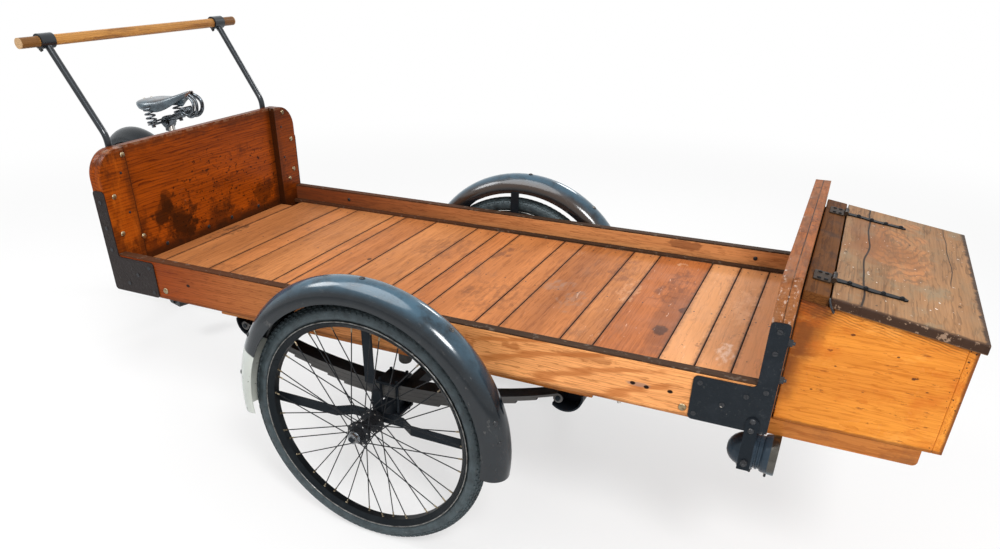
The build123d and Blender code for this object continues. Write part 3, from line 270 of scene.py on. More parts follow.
# %% Camera
LOOKS_DOWN, TURNED_LEFT = 31.057, 25.627
camera_data = bpy.data.cameras.new("camera")
camera = bpy.data.objects.new("camera", camera_data)
bpy.context.scene.collection.objects.link(camera)
camera.location = at(0.926, -1.808, 1.350)
camera.rotation_euler = (math.radians(90 - LOOKS_DOWN), 0, math.radians(TURNED_LEFT))
camera_data.sensor_width = 36.0
camera_data.lens = 27.287
camera_data.shift_x = 0.0291
camera_data.shift_y = 0.1320
camera_data.clip_start = 0.01
bpy.context.scene.camera = camera
bpy.context.scene.view_settings.view_transform = "Standard"
print("camera at", [round(v, 3) for v in camera.location])

# %% Floor
FLOOR_HALF = 40
corners = [(-FLOOR_HALF, -FLOOR_HALF, 0), (FLOOR_HALF, -FLOOR_HALF, 0),
           (FLOOR_HALF, FLOOR_HALF, 0), (-FLOOR_HALF, FLOOR_HALF, 0)]
floor_mesh = bpy.data.meshes.new("studio_floor")
floor_mesh.from_pydata(corners, [], [(0, 1, 2, 3)])
floor = bpy.data.objects.new("studio_floor", floor_mesh)
bpy.context.scene.collection.objects.link(floor)
floor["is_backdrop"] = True
floor_finish = Finish("studio_floor", base_color=(0.86, 0.86, 0.86), roughness=0.9, specular_ior_level=0.1)
away = floor_finish.node("VectorMath", {"operation": "LENGTH"}, {0: floor_finish.place()}, out="Value")
shown = floor_finish.node("LightPath", out="Is Camera Ray")
white_light = floor_finish.node("Emission", None, {"Color": (1, 1, 1, 1), "Strength": 1.0})
whitened = shown * (floor_finish.step(away, 2.2, 5.5) * 0.4 + 0.6)
matt = Wire(floor_finish.tree, floor_finish.shader.outputs[0])
surface = floor_finish.node("MixShader", None, {0: whitened, 1: matt, 2: white_light})
floor_output = floor_finish.tree.nodes["Material Output"]
floor_finish.tree.links.new(surface.socket, floor_output.inputs["Surface"])
floor_mesh.materials.append(floor_finish.material)
print("floor", 2 * FLOOR_HALF, "m across, white beyond 5.5 m")

# %% World
STUDIO_LEVEL = 0.70
world = bpy.data.worlds.new("studio")
bpy.context.scene.world = world
world.use_nodes = True
sky = world.node_tree
seen = add_node(sky, "ShaderNodeLightPath", out="Is Camera Ray")
mirrored = add_node(sky, "ShaderNodeLightPath", out="Is Glossy Ray")
through = add_node(sky, "ShaderNodeLightPath", out="Is Transmission Ray")
white = seen.maths("MAXIMUM", mirrored.maths("MAXIMUM", through))
strength = white * (1.0 - STUDIO_LEVEL) + STUDIO_LEVEL
sky.links.new(strength.socket, sky.nodes["Background"].inputs["Strength"])
sky.nodes["Background"].inputs["Color"].default_value = (1, 1, 1, 1)
print("the world lights matt surfaces at", STUDIO_LEVEL)


# %% Lamps
def lamp(name, place, aim, size, power):
    """A round lamp of this size at a place, turned towards its aim."""
    data = bpy.data.lights.new(name, "AREA")
    data.shape = "DISK"
    data.size = size
    data.energy = power
    made = bpy.data.objects.new(name, data)
    bpy.context.scene.collection.objects.link(made)
    made.location = place
    made.rotation_euler = (Vector(aim) - Vector(place)).to_track_quat("-Z", "Y").to_euler()
    print(name, power, "W,", size, "m wide")
    return made


lamp("key_over_front", (2.6, -2.6, 3.4), (0.3, 0, 0.5), 1.15, 128)
lamp("fill_over_rear", (-2.4, -1.0, 3.0), (-0.4, 0, 0.5), 1.3, 46)
lamp("rim_far_side", (0.6, 3.2, 2.4), (0, 0, 0.6), 0.7, 20)
# a wide pale card overhead, which only gloss can see
card = lamp("gloss_card_overhead", (-0.3, -1.0, 3.0), (0, -0.2, 0.5), 2.4, 70)
card.visible_diffuse = False

# %% [markdown]
# ## The rear frame's own directions
# The rear wheel hangs on a frame that swings about a pin in the middle of the front
# axle, and it is parked a little off straight. Pieces on it are placed by how far they
# are behind the pin, how far to the left, and how high.

# %% Behind the pin, to the left, up
rear_hub = middle("rear_rim")
BACK = (Vector((rear_hub.x, rear_hub.y, 0)) - START).normalized()
ACROSS = Vector((BACK.y, -BACK.x, 0))
REAR_AXLE = (Vector((rear_hub.x, rear_hub.y, 0)) - START).length


def rear_place(behind, left, up):
    """A place on the rear frame."""
    return START + BACK * behind + ACROSS * left + Vector((0, 0, up))


print("rear axle", round(REAR_AXLE, 4), "behind the pin")

# %% [markdown]
# ## Where the saddle sits
# The saddle is clamped to its post a little turned and with its nose up, as a rider
# left it. Its pieces are all counted from the clamp along the saddle's own directions,
# in millimetres, because that is how a saddler would measure them.

# %% The saddle's clamp and directions
SADDLE_CLAMP = rear_place(1.4727, 0, 0.800)
SADDLE_TURN = math.radians(18)
SADDLE_TILT = math.radians(10)
level = Matrix.Rotation(SADDLE_TURN, 3, "Z") @ -BACK
SADDLE_LEFT = Vector((-level.y, level.x, 0))
SADDLE_AHEAD = level * math.cos(SADDLE_TILT) + Vector((0, 0, math.sin(SADDLE_TILT)))
SADDLE_UP = SADDLE_AHEAD.cross(SADDLE_LEFT)


def saddle_place(ahead, left, up):
    """A place on the saddle, counted in millimetres from its clamp."""
    return SADDLE_CLAMP + (SADDLE_AHEAD * ahead + SADDLE_LEFT * left + SADDLE_UP * up) / 1000


print("saddle clamp at", [round(v, 3) for v in SADDLE_CLAMP])

# %% [markdown]
# ## Timber
# Every board was sawn from a log, so its figure is the log's growth rings cut through.
# A wave texture that makes rings round the grain's direction gives the same figure on
# the face, the edge and the end of a board, which a painted stripe would not. Noise
# stretched along the grain adds the fibres, and two slower noises add the way old
# varnish darkens in patches.

# %% One recipe for every board
SQUEEZE = {"X": (0.10, 1, 1), "Y": (1, 0.10, 1), "Z": (1, 1, 0.10)}
FIBRE = {"X": (7, 240, 240), "Y": (240, 7, 240), "Z": (240, 240, 7)}


def timber(finish, grain, dark, light, pith, spacing, wander, shift=None, ring_share=0.34, fibre_share=0.95):
    """Gives the finish a board's colour and height, to be stained and varnished later."""
    where = finish.place()
    if shift is not None:
        where = finish.node("VectorMath", {"operation": "ADD"}, {0: where, 1: shift})
    log = finish.node("Mapping", None, {0: where, 1: tuple(-v for v in pith), 3: SQUEEZE[grain]})
    settings = {"wave_type": "RINGS", "rings_direction": grain, "wave_profile": "SAW"}
    rings = finish.node("TexWave", settings, {"Vector": log, "Scale": math.pi / 10 / spacing,
                                              "Distortion": wander, "Detail": 3.0, "Detail Scale": 1.6,
                                              "Detail Roughness": 0.6}, out=1)
    fibres = finish.noise(finish.node("Mapping", None, {0: where, 3: FIBRE[grain]}), 1.0, 5, 0.62)
    slow = finish.noise(log, 7.0, 5, 0.6)
    late = finish.step(rings, 0.55, 1.0)
    tone = (slow - 0.5) * 1.5 + 0.62 - late * ring_share + (fibres - 0.5) * fibre_share
    finish.colour = finish.mix(tone.maths("MINIMUM", 1.0).maths("MAXIMUM", 0.0), dark, light)
    finish.height = fibres * 0.7 - late * 0.25
    return finish


def stain(finish, mask, colour, amount=1.0):
    """Lays a colour over the board where the mask is white."""
    finish.colour = finish.mix(mask * amount, finish.colour, colour)


def varnish(finish, rough, worn=0.25, relief=0.35, shine=0.16):
    """Finishes a board: patchy gloss, and grain that can be felt."""
    wear = finish.noise(finish.place(), 16.0, 5, 0.6)
    finish.set(base_color=finish.colour, roughness=(wear - 0.5) * worn * 2 + rough, specular_ior_level=shine)
    finish.set(normal=finish.bump(finish.height, relief, 0.0006))
    return finish


print("one recipe for grain along", ", ".join(SQUEEZE))


# %% Rubbed edges
def rub_edges(width, *names):
    """Rounds the edges of CAD boards a little, as years of hands and loads do."""
    for name in names:
        weld = nodes[name].modifiers.new("weld", "WELD")
        weld.merge_threshold = 0.00002
        bevel = nodes[name].modifiers.new("rubbed_edges", "BEVEL")
        bevel.width = width
        bevel.segments = 2
        bevel.limit_method = "ANGLE"
        bevel.angle_limit = math.radians(50)
    print("rubbed", round(width * 1000, 1), "mm off", len(names), "kinds of board")


rub_edges(0.0011, "floor_slats", "edge_strips")
rub_edges(0.0016, "side_boards", "rear_board_panel", "rear_board_cleats", "front_board", "chest_sides",
          "chest_ends", "chest_runners", "floor_bearers", "spring_rails")
rub_edges(0.0026, "chest_lid", "chest_top_strip")

# %% [markdown]
# ## The side boards
# Each side is one long varnished plank. Sun and hands have bleached its front half and the rear half has gone
# brown, and that brown is partly painted shade, so the rings are multiplied by a brown that fades out
# forwards. The stains are few, and each sits where rain, bolts or ropes would leave it.

# %% Side boards: figure, age and painted shade
SIDE_FACE = -0.413
NEARLY_BLACK = (0.012, 0.006, 0.004)
sides = timber(Finish("side_boards_varnish"), "X", (0.22, 0.062, 0.013), (0.93, 0.415, 0.148),
               (0.3, -0.36, 0.40), 0.0058, 13.0)
# partly painted shade: the brown that darkens the rear half is partly the wood's age and partly painted shade
bleached_and_lit = sides.step(sides.axis("X"), -0.80, 0.35)
sides.colour = sides.mix(1 - bleached_and_lit, sides.colour, (0.30, 0.11, 0.02), "MULTIPLY")
stain(sides, sides.spot((0.525, SIDE_FACE, 0.612), (0.075, 0.2, 0.012), 0.7, 45), (0.22, 0.060, 0.014), 0.45)
flame_log = sides.node("Mapping", None, {0: sides.place(), 1: (-0.50, 0, -0.505), 3: (0.045, 0.0, 1.0)})
flame = sides.wave("RINGS", "Y", flame_log, scale=44.0, distortion=3.2, detail=3.0, detail_scale=0.9,
                   detail_roughness=0.6)
near = sides.step(sides.axis("Y"), -0.38, -0.40)
arch = sides.spot((0.48, SIDE_FACE, 0.575), (0.30, 0.2, 0.09), 0.6, 12)
stain(sides, sides.step(flame, 0.62, 0.99) * arch * near, (0.36, 0.100, 0.020), 0.65)
print("side boards bleached towards the front, with one arched figure")

# %% Side boards: stains
BROWN_SPOTS = ((0.165, 0.59, 0.030, 0.040), (0.24, 0.575, 0.045, 0.030), (0.36, 0.60, 0.030, 0.012))
NAIL_HOLES = ((0.632, 0.574), (0.662, 0.571), (0.711, 0.572), (-0.586, 0.577))
for x, z, long, tall in BROWN_SPOTS:
    stain(sides, sides.spot((x, SIDE_FACE, z), (long, 0.1, tall), 1.2, 30) * near, (0.27, 0.066, 0.012), 0.55)
stain(sides, sides.step(sides.ragged("Z", 0.012, 26, 5), 0.534, 0.524), (0.09, 0.030, 0.010), 0.6)
stain(sides, sides.patches((6, 90, 90), 0.60, 0.70, 6, 0.7), (0.13, 0.036, 0.010), 0.55)
stain(sides, sides.spot((0.645, SIDE_FACE, 0.573), (0.030, 0.05, 0.006), 0.4, 60), (0.30, 0.17, 0.12), 0.8)
for x, z in NAIL_HOLES:
    stain(sides, sides.spot((x, SIDE_FACE, z), (0.007, 0.03, 0.005), 0.2, 90), NEARLY_BLACK)
stain(sides, sides.spot((0.565, 0.389, 0.613), (0.055, 0.05, 0.016), 0.8, 45), (0.13, 0.036, 0.014), 0.6)
stain(sides, sides.step(sides.axis("Y"), 0.0, 0.1), (0.20, 0.085, 0.040), 0.38)
varnish(sides, 0.40, shine=0.08)
dress(sides, "side_boards")
print("side boards dressed, with", len(BROWN_SPOTS), "brown spots and", len(NAIL_HOLES), "nail holes")

# %% [markdown]
# ## The rear board
# The board behind the load is the reddest and the dirtiest: soot in soft clouds, pits, a dark line where each
# cleat is screwed on, and a brim rubbed pale by hands and painted paler still as the highlight on its rounded
# edge. The clouds lie only on the side that faces the load, so their mask is multiplied by how far the
# surface faces forwards.

# %% Rear board: soot and pits
PANEL_X = -0.843
CLEAT_EDGE = 0.318
SOOT_CLOUDS = ((-0.165, 0.655, 0.085, 0.060, 0.72), (-0.205, 0.690, 0.045, 0.046, 0.62),
               (-0.150, 0.632, 0.060, 0.050, 0.70), (-0.190, 0.715, 0.022, 0.050, 0.45),
               (0.030, 0.640, 0.050, 0.030, 0.40), (0.240, 0.640, 0.060, 0.036, 0.55))
rear = timber(Finish("rear_board_varnish"), "Y", (0.10, 0.016, 0.0015), (0.46, 0.088, 0.004),
              (-0.95, 0.0, 0.2), 0.0085, 9.0)
grime = rear.noise(rear.place(), 9.0, 7, 0.7)
low_down = rear.step(rear.axis("Z"), 0.70, 0.575)
stain(rear, rear.step(grime + low_down * 0.17, 0.55, 0.68), (0.050, 0.011, 0.003), 0.72)
bed_side = rear.step(rear.facing("X"), -0.4, 0.4)
for y, z, wide, tall, amount in SOOT_CLOUDS:
    cloud = rear.spot((PANEL_X, y, z), (0.1, wide, tall), 1.25, 24)
    stain(rear, cloud * bed_side, (0.030, 0.008, 0.002), amount)
pits = rear.noise(rear.stretched((70, 62, 88)), 1.0, 4, 0.65)
pitted = rear.spot((PANEL_X, 0.09, 0.69), (0.1, 0.34, 0.15), 0.7, 9)
stain(rear, rear.step(pits, 0.59, 0.62) * pitted, (0.016, 0.005, 0.002), 0.9)
blotch = rear.patches((14, 10, 26), 0.55, 0.66, 7, 0.74, 0.4)
stain(rear, blotch * rear.spot((PANEL_X, 0.10, 0.66), (0.1, 0.34, 0.14), 0.8, 9), (0.045, 0.012, 0.003), 0.6)
print("rear board sooted with", len(SOOT_CLOUDS), "clouds")

# %% Rear board: joints, foot and brim
top_grime = rear.step(rear.axis("Z") + (grime - 0.5) * 0.09, 0.862, 0.885)
stain(rear, top_grime, (0.045, 0.012, 0.004), 0.62)
cleat_joint = rear.step(abs_wire(abs_wire(rear.axis("Y")) - CLEAT_EDGE), 0.0035, 0.0012)
stain(rear, cleat_joint * (rear.axis("X") > PANEL_X - 0.0015), (0.02, 0.007, 0.003), 0.85)
beside = abs_wire(abs_wire(rear.axis("Y")) - CLEAT_EDGE) + (grime - 0.5) * 0.06
stain(rear, rear.step(beside, 0.030, 0.004), (0.05, 0.014, 0.004), 0.55)
foot = rear.step(rear.axis("Z") + (grime - 0.5) * 0.07, 0.612, 0.585)
stain(rear, foot, (0.03, 0.009, 0.003), 0.85)
scraped = rear.step(rear.noise(rear.stretched((1, 9, 30)), 3.0, 6, 0.7), 0.60, 0.66)
scraped = scraped * rear.spot((PANEL_X, -0.10, 0.725), (0.1, 0.04, 0.05), 0.4, 30)
stain(rear, scraped, (0.30, 0.16, 0.09), 0.45)
near_cleat = rear.step(rear.axis("Y"), -CLEAT_EDGE, -0.330)
stain(rear, near_cleat * rear.patches((30, 16, 5), 0.48, 0.66, 6, 0.7), (0.52, 0.115, 0.008), 0.55)
# partly painted highlight: the brim is painted paler, as rubbed wood and as the highlight its rounded edge
# catches
handled_and_lit = rear.patches(70, 0.40, 0.60, 4, 0.6)
brim = rear.step(rear.axis("Z"), 0.888, 0.894) * rear.step(rear.axis("X"), -0.852, -0.846)
stain(rear, brim * handled_and_lit, (0.40, 0.26, 0.16), 0.3)
far_cleat = rear.step(rear.axis("Y"), CLEAT_EDGE, 0.330)
stain(rear, far_cleat, (0.07, 0.014, 0.002), 0.42)
varnish(rear, 0.34, 0.22, shine=0.07)
dress(rear, "rear_board_panel", "rear_board_cleats")
print("rear board dressed")

# %% [markdown]
# ## The floor slats
# The floor is seventeen boards of different widths, each from another log. All of them are one node, so a
# stepped ramp along the bed tells the material which board it is on: that number shifts the log, so that the
# figure jumps from board to board, and it also sets how pale and how red each board is. Dirt lies in the
# seams between them. The walls of the gaps are painted nearly black as painted shade, and the slats next to
# the front board are painted lighter against its shadow.

# %% Floor slats: seventeen boards
FLOOR_TOP = 0.577
SLAT_WIDTHS = (50, 162, 74, 145, 46, 113, 150, 78, 68, 149, 62, 154, 78, 149, 78, 76, 61)
SLAT_TONES = (42, 62, 55, 64, 48, 55, 60, 50, 44, 40, 50, 36, 68, 12, 62, 72, 72)
slats = Finish("floor_slats_worn")
slat_low, slat_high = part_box("floor_slats")
along_bed = (slats.axis("X") - (slat_low[0] - START.x)) / (slat_high[0] - slat_low[0])
slat_starts = [sum(SLAT_WIDTHS[:k]) / sum(SLAT_WIDTHS) for k in range(len(SLAT_WIDTHS))]
board = slats.bands(along_bed, [(start, tone / 100) for start, tone in zip(slat_starts, SLAT_TONES)])
next_log = slats.node("CombineXYZ", None, {1: board * 37.0, 2: board * 1.7})
timber(slats, "Y", (0.22, 0.066, 0.014), (0.72, 0.295, 0.098), (0.1, 0.0, 0.46), 0.0068, 10.0, next_log,
       ring_share=0.22, fibre_share=0.66)
stain(slats, slats.patches((7, 2.6, 7), 0.52, 0.72, 6, 0.68, 0.8), (0.30, 0.105, 0.030), 0.5)
tint = slats.mix(slats.step(board, 0.15, 0.72), (0.80, 0.66, 0.55), (1.0, 1.0, 1.0))
slats.colour = slats.mix(1.0, slats.colour, tint, "MULTIPLY")
print(len(SLAT_WIDTHS), "slats over", round(slat_high[0] - slat_low[0], 3), "m")


# %% Floor slats: knots, pale scrapes and dark soil
def slat_spot(x, y, long, wide, ragged, scale):
    """A spot on the floor, right through a slat."""
    return slats.spot((x, y, FLOOR_TOP), (long, wide, 0.05), ragged, scale)


KNOT = (0.10, 0.03, 0.02)
SCRAPES = ((0.306, 0.021, 0.055, 0.045, (0.30, 0.20, 0.15), 0.55),
           (0.371, -0.06, 0.040, 0.07, (0.27, 0.18, 0.13), 0.50),
           (0.785, -0.205, 0.024, 0.060, (0.90, 0.62, 0.45), 0.95),
           (0.78, 0.06, 0.03, 0.16, (0.84, 0.46, 0.25), 0.50),
           (0.579, 0.32, 0.016, 0.016, (0.80, 0.50, 0.32), 0.8),
           (0.493, 0.072, 0.030, 0.10, (0.80, 0.45, 0.25), 0.55),
           (-0.800, 0.01, 0.032, 0.095, (0.10, 0.045, 0.020), 0.9),
           (0.725, -0.179, 0.012, 0.014, KNOT, 0.9),
           (0.499, -0.288, 0.010, 0.012, KNOT, 0.9),
           (0.076, 0.2, 0.03, 0.08, (0.16, 0.06, 0.03), 0.7),
           (-0.55, -0.30, 0.12, 0.10, (0.25, 0.09, 0.03), 0.6),
           (0.18, -0.12, 0.10, 0.12, (0.20, 0.07, 0.025), 0.6),
           (-0.10, 0.16, 0.10, 0.12, (0.20, 0.07, 0.025), 0.5),
           (0.60, 0.14, 0.05, 0.16, (0.16, 0.05, 0.02), 0.7),
           (0.44, 0.21, 0.04, 0.12, (0.18, 0.06, 0.025), 0.6))
for x, y, long, wide in ((0.655, 0.002, 0.018, 0.026), (-0.258, -0.027, 0.008, 0.011)):
    stain(slats, slat_spot(x, y, long, wide, 0.5, 60), (0.05, 0.018, 0.010), 0.92)
stain(slats, slat_spot(0.628, -0.06, 0.045, 0.24, 0.6, 14), (0.13, 0.045, 0.022), 0.42)
# painted light: the slats next to the front board are painted lighter, against the shadow the board casts on
# them
stain(slats, slats.step(slats.axis("X"), 0.6545, 0.6555), (0.98, 0.50, 0.22), 0.42)
stain(slats, slat_spot(0.624, -0.139, 0.020, 0.032, 0.5, 50), (0.05, 0.020, 0.013), 0.8)
broken = slats.patches((60, 24, 60), 0.40, 0.62, 6, 0.72)
for x, y, long, wide, colour, amount in SCRAPES:
    stain(slats, slat_spot(x, y, long, wide, 0.9, 34) * broken, colour, amount)
redness = slats.bands(along_bed, [(start, (k * 0.37) % 1.0) for k, start in enumerate(slat_starts)])
slats.colour = slats.mix(redness * 0.26, slats.colour, (0.86, 0.55, 0.32), "MULTIPLY")
print("floor marked with", len(SCRAPES), "scrapes and knots")

# %% Floor slats: wear, a split board, dirt in the seams and painted shade in the gaps
stain(slats, slats.patches((22, 6, 22), 0.56, 0.74, 7, 0.72, 0.6), (0.19, 0.085, 0.045), 0.62)
scratch = slats.patches((95, 11, 60), 0.69, 0.73, 3, 0.5, 2.0)
stain(slats, scratch * slats.step(slats.axis("X"), 0.1, 0.6), (0.93, 0.70, 0.55), 0.5)
stain(slats, slats.patches(130, 0.71, 0.74, 2, 0.5), (0.05, 0.022, 0.014), 0.85)
to_the_side = abs_wire(slats.axis("Y")) + (slats.noise(slats.place(), 12, 4) - 0.5) * 0.05
stain(slats, slats.step(to_the_side, 0.352, 0.392), (0.10, 0.045, 0.024), 0.55)
crack = slats.wave("BANDS", "X", slats.place(), scale=8.0, distortion=1.6, detail=2.0, detail_scale=3.0)
split = slats.step(crack, 0.9985, 0.9999) * slat_spot(0.73, -0.02, 0.08, 0.36, 0.2, 9)
stain(slats, split, (0.08, 0.030, 0.014), 0.35)
seams = abs_wire(along_bed - slat_starts[1])
for start in slat_starts[2:]:
    seams = seams.maths("MINIMUM", abs_wire(along_bed - start))
packed = slats.noise(slats.place(), 55.0, 4)
stain(slats, slats.step(seams + (packed - 0.5) * 0.0011, 0.00185, 0.00095), (0.030, 0.012, 0.006), 0.92)
stain(slats, slats.step(seams + (packed - 0.5) * 0.010, 0.0065, 0.0010), (0.13, 0.045, 0.016), 0.45)
# painted shade: faces that don't look up, the walls of the gaps between slats, are painted nearly black
stain(slats, slats.step(slats.facing("Z"), 0.6, 0.3), (0.016, 0.007, 0.004), 0.97)
varnish(slats, 0.58, 0.16, 0.5)
dress(slats, "floor_slats")
print("floor dressed")

# %% [markdown]
# ## The front board
# The board in front of the load is two planks, so a dark groove runs along its top. Its top faces are
# darkened with painted shade, except for rubbed patches that stay paler, and the near end is bruised to bare
# grey wood by years of loading. Bare and dark patches share one noise, so they always fit against each other.

# %% Front board
front = timber(Finish("front_board_varnish"), "Y", (0.16, 0.048, 0.014), (0.52, 0.205, 0.072),
               (0.90, 0.0, 0.42), 0.006, 8.0)
top_edge = front.step(front.ragged("Z", 0.02, 30, 5), 0.828, 0.838)
stain(front, top_edge * front.patches(24, 0.42, 0.55, 6, 0.7), (0.28, 0.12, 0.040), 0.45)
groove = front.step(abs_wire(front.axis("X") - 0.8925), 0.0016, 0.0008)
stain(front, groove, (0.02, 0.009, 0.005), 0.95)
chips = front.patches(60, 0.60, 0.64, 4, 0.6)
stain(front, chips * top_edge, (0.12, 0.05, 0.03), 0.8)
# painted shade: faces that look up are darkened against the lamps above, except for the rubbed patches
shaded_top = front.step(front.facing("Z"), 0.6, 0.8)
worn_top = front.patches((60, 18, 60), 0.36, 0.60, 6, 0.7)
front.colour = front.mix(shaded_top, front.colour, (0.84, 0.66, 0.48), "MULTIPLY")
stain(front, shaded_top * (1 - worn_top), (0.10, 0.036, 0.014), 0.6)
pale_line = front.step(abs_wire(front.axis("X") - 0.8755), 0.0030, 0.0012) * chips
stain(front, pale_line, (0.66, 0.58, 0.50), 0.7)
near_end = front.step(front.ragged("Y", 0.03, 40, 5), -0.372, -0.388)
bared = front.patches((120, 90, 55), 0.54, 0.62, 6, 0.75)
stain(front, near_end * bared, (0.50, 0.42, 0.36), 0.62)
stain(front, near_end * (1 - bared), (0.13, 0.045, 0.016), 0.5)
stain(front, front.patches((30, 8, 14), 0.48, 0.64, 7, 0.72), (0.24, 0.115, 0.060), 0.5)
varnish(front, 0.50, 0.18, shine=0.06)
dress(front, "front_board")
print("front board dressed")

# %% [markdown]
# ## The chest
# The chest is the brightest wood on the tricycle: a golden, glossy varnish over a fine figure. Its sides run
# along the bed and its ends run across it, so one function makes the varnish twice with the grain turned. A
# painted shadow lies low behind the front board, and the worm holes and the scars are what stop it looking
# new.

# %% Chest sides and ends
CHEST_SIDE = -0.331
WORM_HOLES = ((1.016, 0.729, 1.0), (1.138, 0.663, 1.3), (1.001, 0.659, 0.6), (1.10, 0.700, 0.7),
              (1.165, 0.640, 0.6), (0.985, 0.690, 1.1), (1.06, 0.615, 0.5), (0.97, 0.600, 0.7))


def chest_wood(name, grain, pith):
    """The chest's golden varnish, on boards that run either way."""
    chest = timber(Finish(name), grain, (0.46, 0.125, 0.010), (0.80, 0.305, 0.040), pith, 0.0075, 16.0)
    rising = chest.axis("Z") + chest.axis("X") * 0.10
    upper = chest.step(rising + (chest.noise(chest.place(), 6, 3) - 0.5) * 0.03, 0.815, 0.87)
    stain(chest, upper, (0.42, 0.125, 0.014), 0.42)
    # painted shadow: the front board's shadow is painted on the chest's back end, widening upwards
    shadow_wander = (chest.noise(chest.place(), 22, 5) - 0.5) * 0.05
    behind = chest.step(chest.axis("X") - (chest.axis("Z") - 0.65) * 0.30 + shadow_wander, 0.968, 0.918)
    stain(chest, behind * chest.step(chest.axis("X"), 0.90, 0.91), (0.13, 0.032, 0.006), 0.85)
    for x, z, size in WORM_HOLES:
        hole = chest.spot((x, CHEST_SIDE, z), (0.0050 * size, 0.05, 0.0026 * size), 1.0, 160)
        stain(chest, hole, (0.07, 0.020, 0.006), 0.92)
    stain(chest, chest.patches((9, 16, 16), 0.54, 0.70, 7, 0.7), (0.52, 0.125, 0.010), 0.55)
    stain(chest, chest.patches((5, 9, 14), 0.54, 0.72, 7, 0.72), (0.98, 0.46, 0.10), 0.45)
    stain(chest, chest.patches((26, 60, 120), 0.61, 0.67, 5, 0.68), (0.20, 0.050, 0.008), 0.7)
    slant = chest.node("Mapping", None, {0: chest.place(), 2: (0, math.radians(-14), 0)})
    tight = chest.wave("BANDS", "Z", slant, scale=62.0, distortion=4.5, detail=4.0, detail_scale=0.6)
    broken = chest.patches((16, 30, 50), 0.40, 0.56, 5, 0.7)
    stain(chest, chest.step(tight, 0.45, 0.95) * upper * broken, (0.11, 0.026, 0.005), 0.66)
    pricks = chest.patches(170, 0.70, 0.72, 1, 0.4)
    stain(chest, pricks * chest.step(chest.axis("X"), 1.192, 1.202), (0.03, 0.012, 0.006), 0.95)
    corner = chest.step(chest.ragged("X", 0.006, 40, 4), 1.216, 1.221)
    stain(chest, corner * chest.step(chest.axis("Y"), -0.320, -0.326), (0.12, 0.035, 0.010), 0.85)
    stain(chest, chest.step(chest.ragged("Z", 0.006, 40, 4), 0.524, 0.519), (0.14, 0.040, 0.010), 0.7)
    print(name, "with", len(WORM_HOLES), "worm holes")
    return varnish(chest, 0.24, 0.14, 0.22, 0.14)


dress(chest_wood("chest_side_varnish", "X", (1.0, -0.55, 0.42)), "chest_sides", "chest_floor")
dress(chest_wood("chest_end_varnish", "Y", (1.42, 0.10, 0.66)), "chest_ends")

# %% [markdown]
# ## The lid
# The lid has been sat on, rained on and leaned against, so its varnish is gone in the
# middle and the wood is brown and swirled there, and greenish round it. Two boards make
# it: one wide dark joint runs across, and a fine seam near the front runs part of the
# way. Both bend a little, because a noise moves the line that they follow.

# %% Lid: worn middle
lid = timber(Finish("lid_worn_varnish"), "Y", (0.080, 0.036, 0.014), (0.38, 0.195, 0.085),
             (1.074, 0.098, 0.30), 0.0105, 14.0)
stain(lid, lid.patches((12, 5, 12), 0.46, 0.70, 7, 0.72, 0.4), (0.27, 0.185, 0.105), 0.52)
swirl = lid.node("Mapping", None, {0: lid.place(), 1: (-1.074, -0.098 * 0.42, 0), 3: (1, 0.42, 0)})
figure = lid.wave("RINGS", "Z", swirl, scale=22.0, distortion=26.0, detail=5.0, detail_scale=0.30,
                  detail_roughness=0.65)
inside = lid.spot((1.085, 0.070, 0.79), (0.075, 0.22, 0.1), 1.0, 13)
streaky = lid.patches((40, 10, 40), 0.36, 0.62, 6, 0.7, 0.8)
stain(lid, inside * streaky, (0.50, 0.200, 0.070), 0.72)
stain(lid, lid.step(figure, 0.45, 1.0) * inside, (0.13, 0.075, 0.042), 0.5)
green = lid.patches((9, 5, 9), 0.50, 0.66, 5, 0.7)
stain(lid, green * (1 - inside), (0.235, 0.195, 0.125), 0.62)
stain(lid, lid.spot((1.02, 0.13, 0.80), (0.05, 0.17, 0.08), 0.6, 16), (0.19, 0.065, 0.02), 0.40)
stain(lid, lid.spot((1.05, 0.02, 0.80), (0.09, 0.10, 0.08), 0.7, 14), (0.24, 0.09, 0.03), 0.5)
print("lid worn in the middle")

# %% Lid: joints, edges and flecks
LID_JOINT, LID_SEAM = 1.018, 1.186
bend = (lid.noise(lid.stretched((0.1, 5, 0.1)), 1.0, 1) - 0.5) * 0.028
wide_joint = lid.step(abs_wire(lid.axis("X") + bend - LID_JOINT), 0.0026, 0.0012)
stain(lid, wide_joint, (0.012, 0.006, 0.004), 0.97)
fine_seam = lid.step(abs_wire(lid.axis("X") + bend * 0.8 - LID_SEAM), 0.0014, 0.0007)
stain(lid, fine_seam * lid.step(lid.axis("Y"), -0.10, -0.06), (0.02, 0.010, 0.006), 0.9)
stain(lid, lid.step(lid.ragged("X", 0.022, 45, 5, 0.6), 1.222, 1.229), (0.035, 0.020, 0.014), 0.9)
stain(lid, lid.step(lid.ragged("Y", 0.016, 45, 5, 0.6), -0.327, -0.334), (0.05, 0.025, 0.014), 0.8)
stain(lid, lid.patches(110, 0.73, 0.75, 2, 0.5), (0.86, 0.80, 0.72), 0.85)
stain(lid, lid.patches((60, 38, 60), 0.66, 0.71, 4, 0.6), (0.04, 0.022, 0.014), 0.75)
upward = lid.facing("Z")
stain(lid, lid.step(abs_wire(upward), 0.75, 0.45), (0.030, 0.013, 0.007), 0.88)
knocked = lid.patches((60, 60, 60), 0.56, 0.62, 5, 0.7)
stain(lid, knocked * lid.step(abs_wire(upward), 0.97, 0.7), (0.40, 0.26, 0.17), 0.6)
stain(lid, lid.step(upward, 0.0, -0.5), (0.22, 0.110, 0.045), 0.6)
varnish(lid, 0.58, 0.16, 0.6)
dress(lid, "chest_lid")
print("lid dressed")

# %% [markdown]
# ## The smaller woods
# The strip behind the lid, the beams under the floor, the turned push bar and the strips
# along the side boards are each a few lines of the same recipe. The bar is rubbed
# bright by hands and darkens towards its two ends, where the arms hold it.

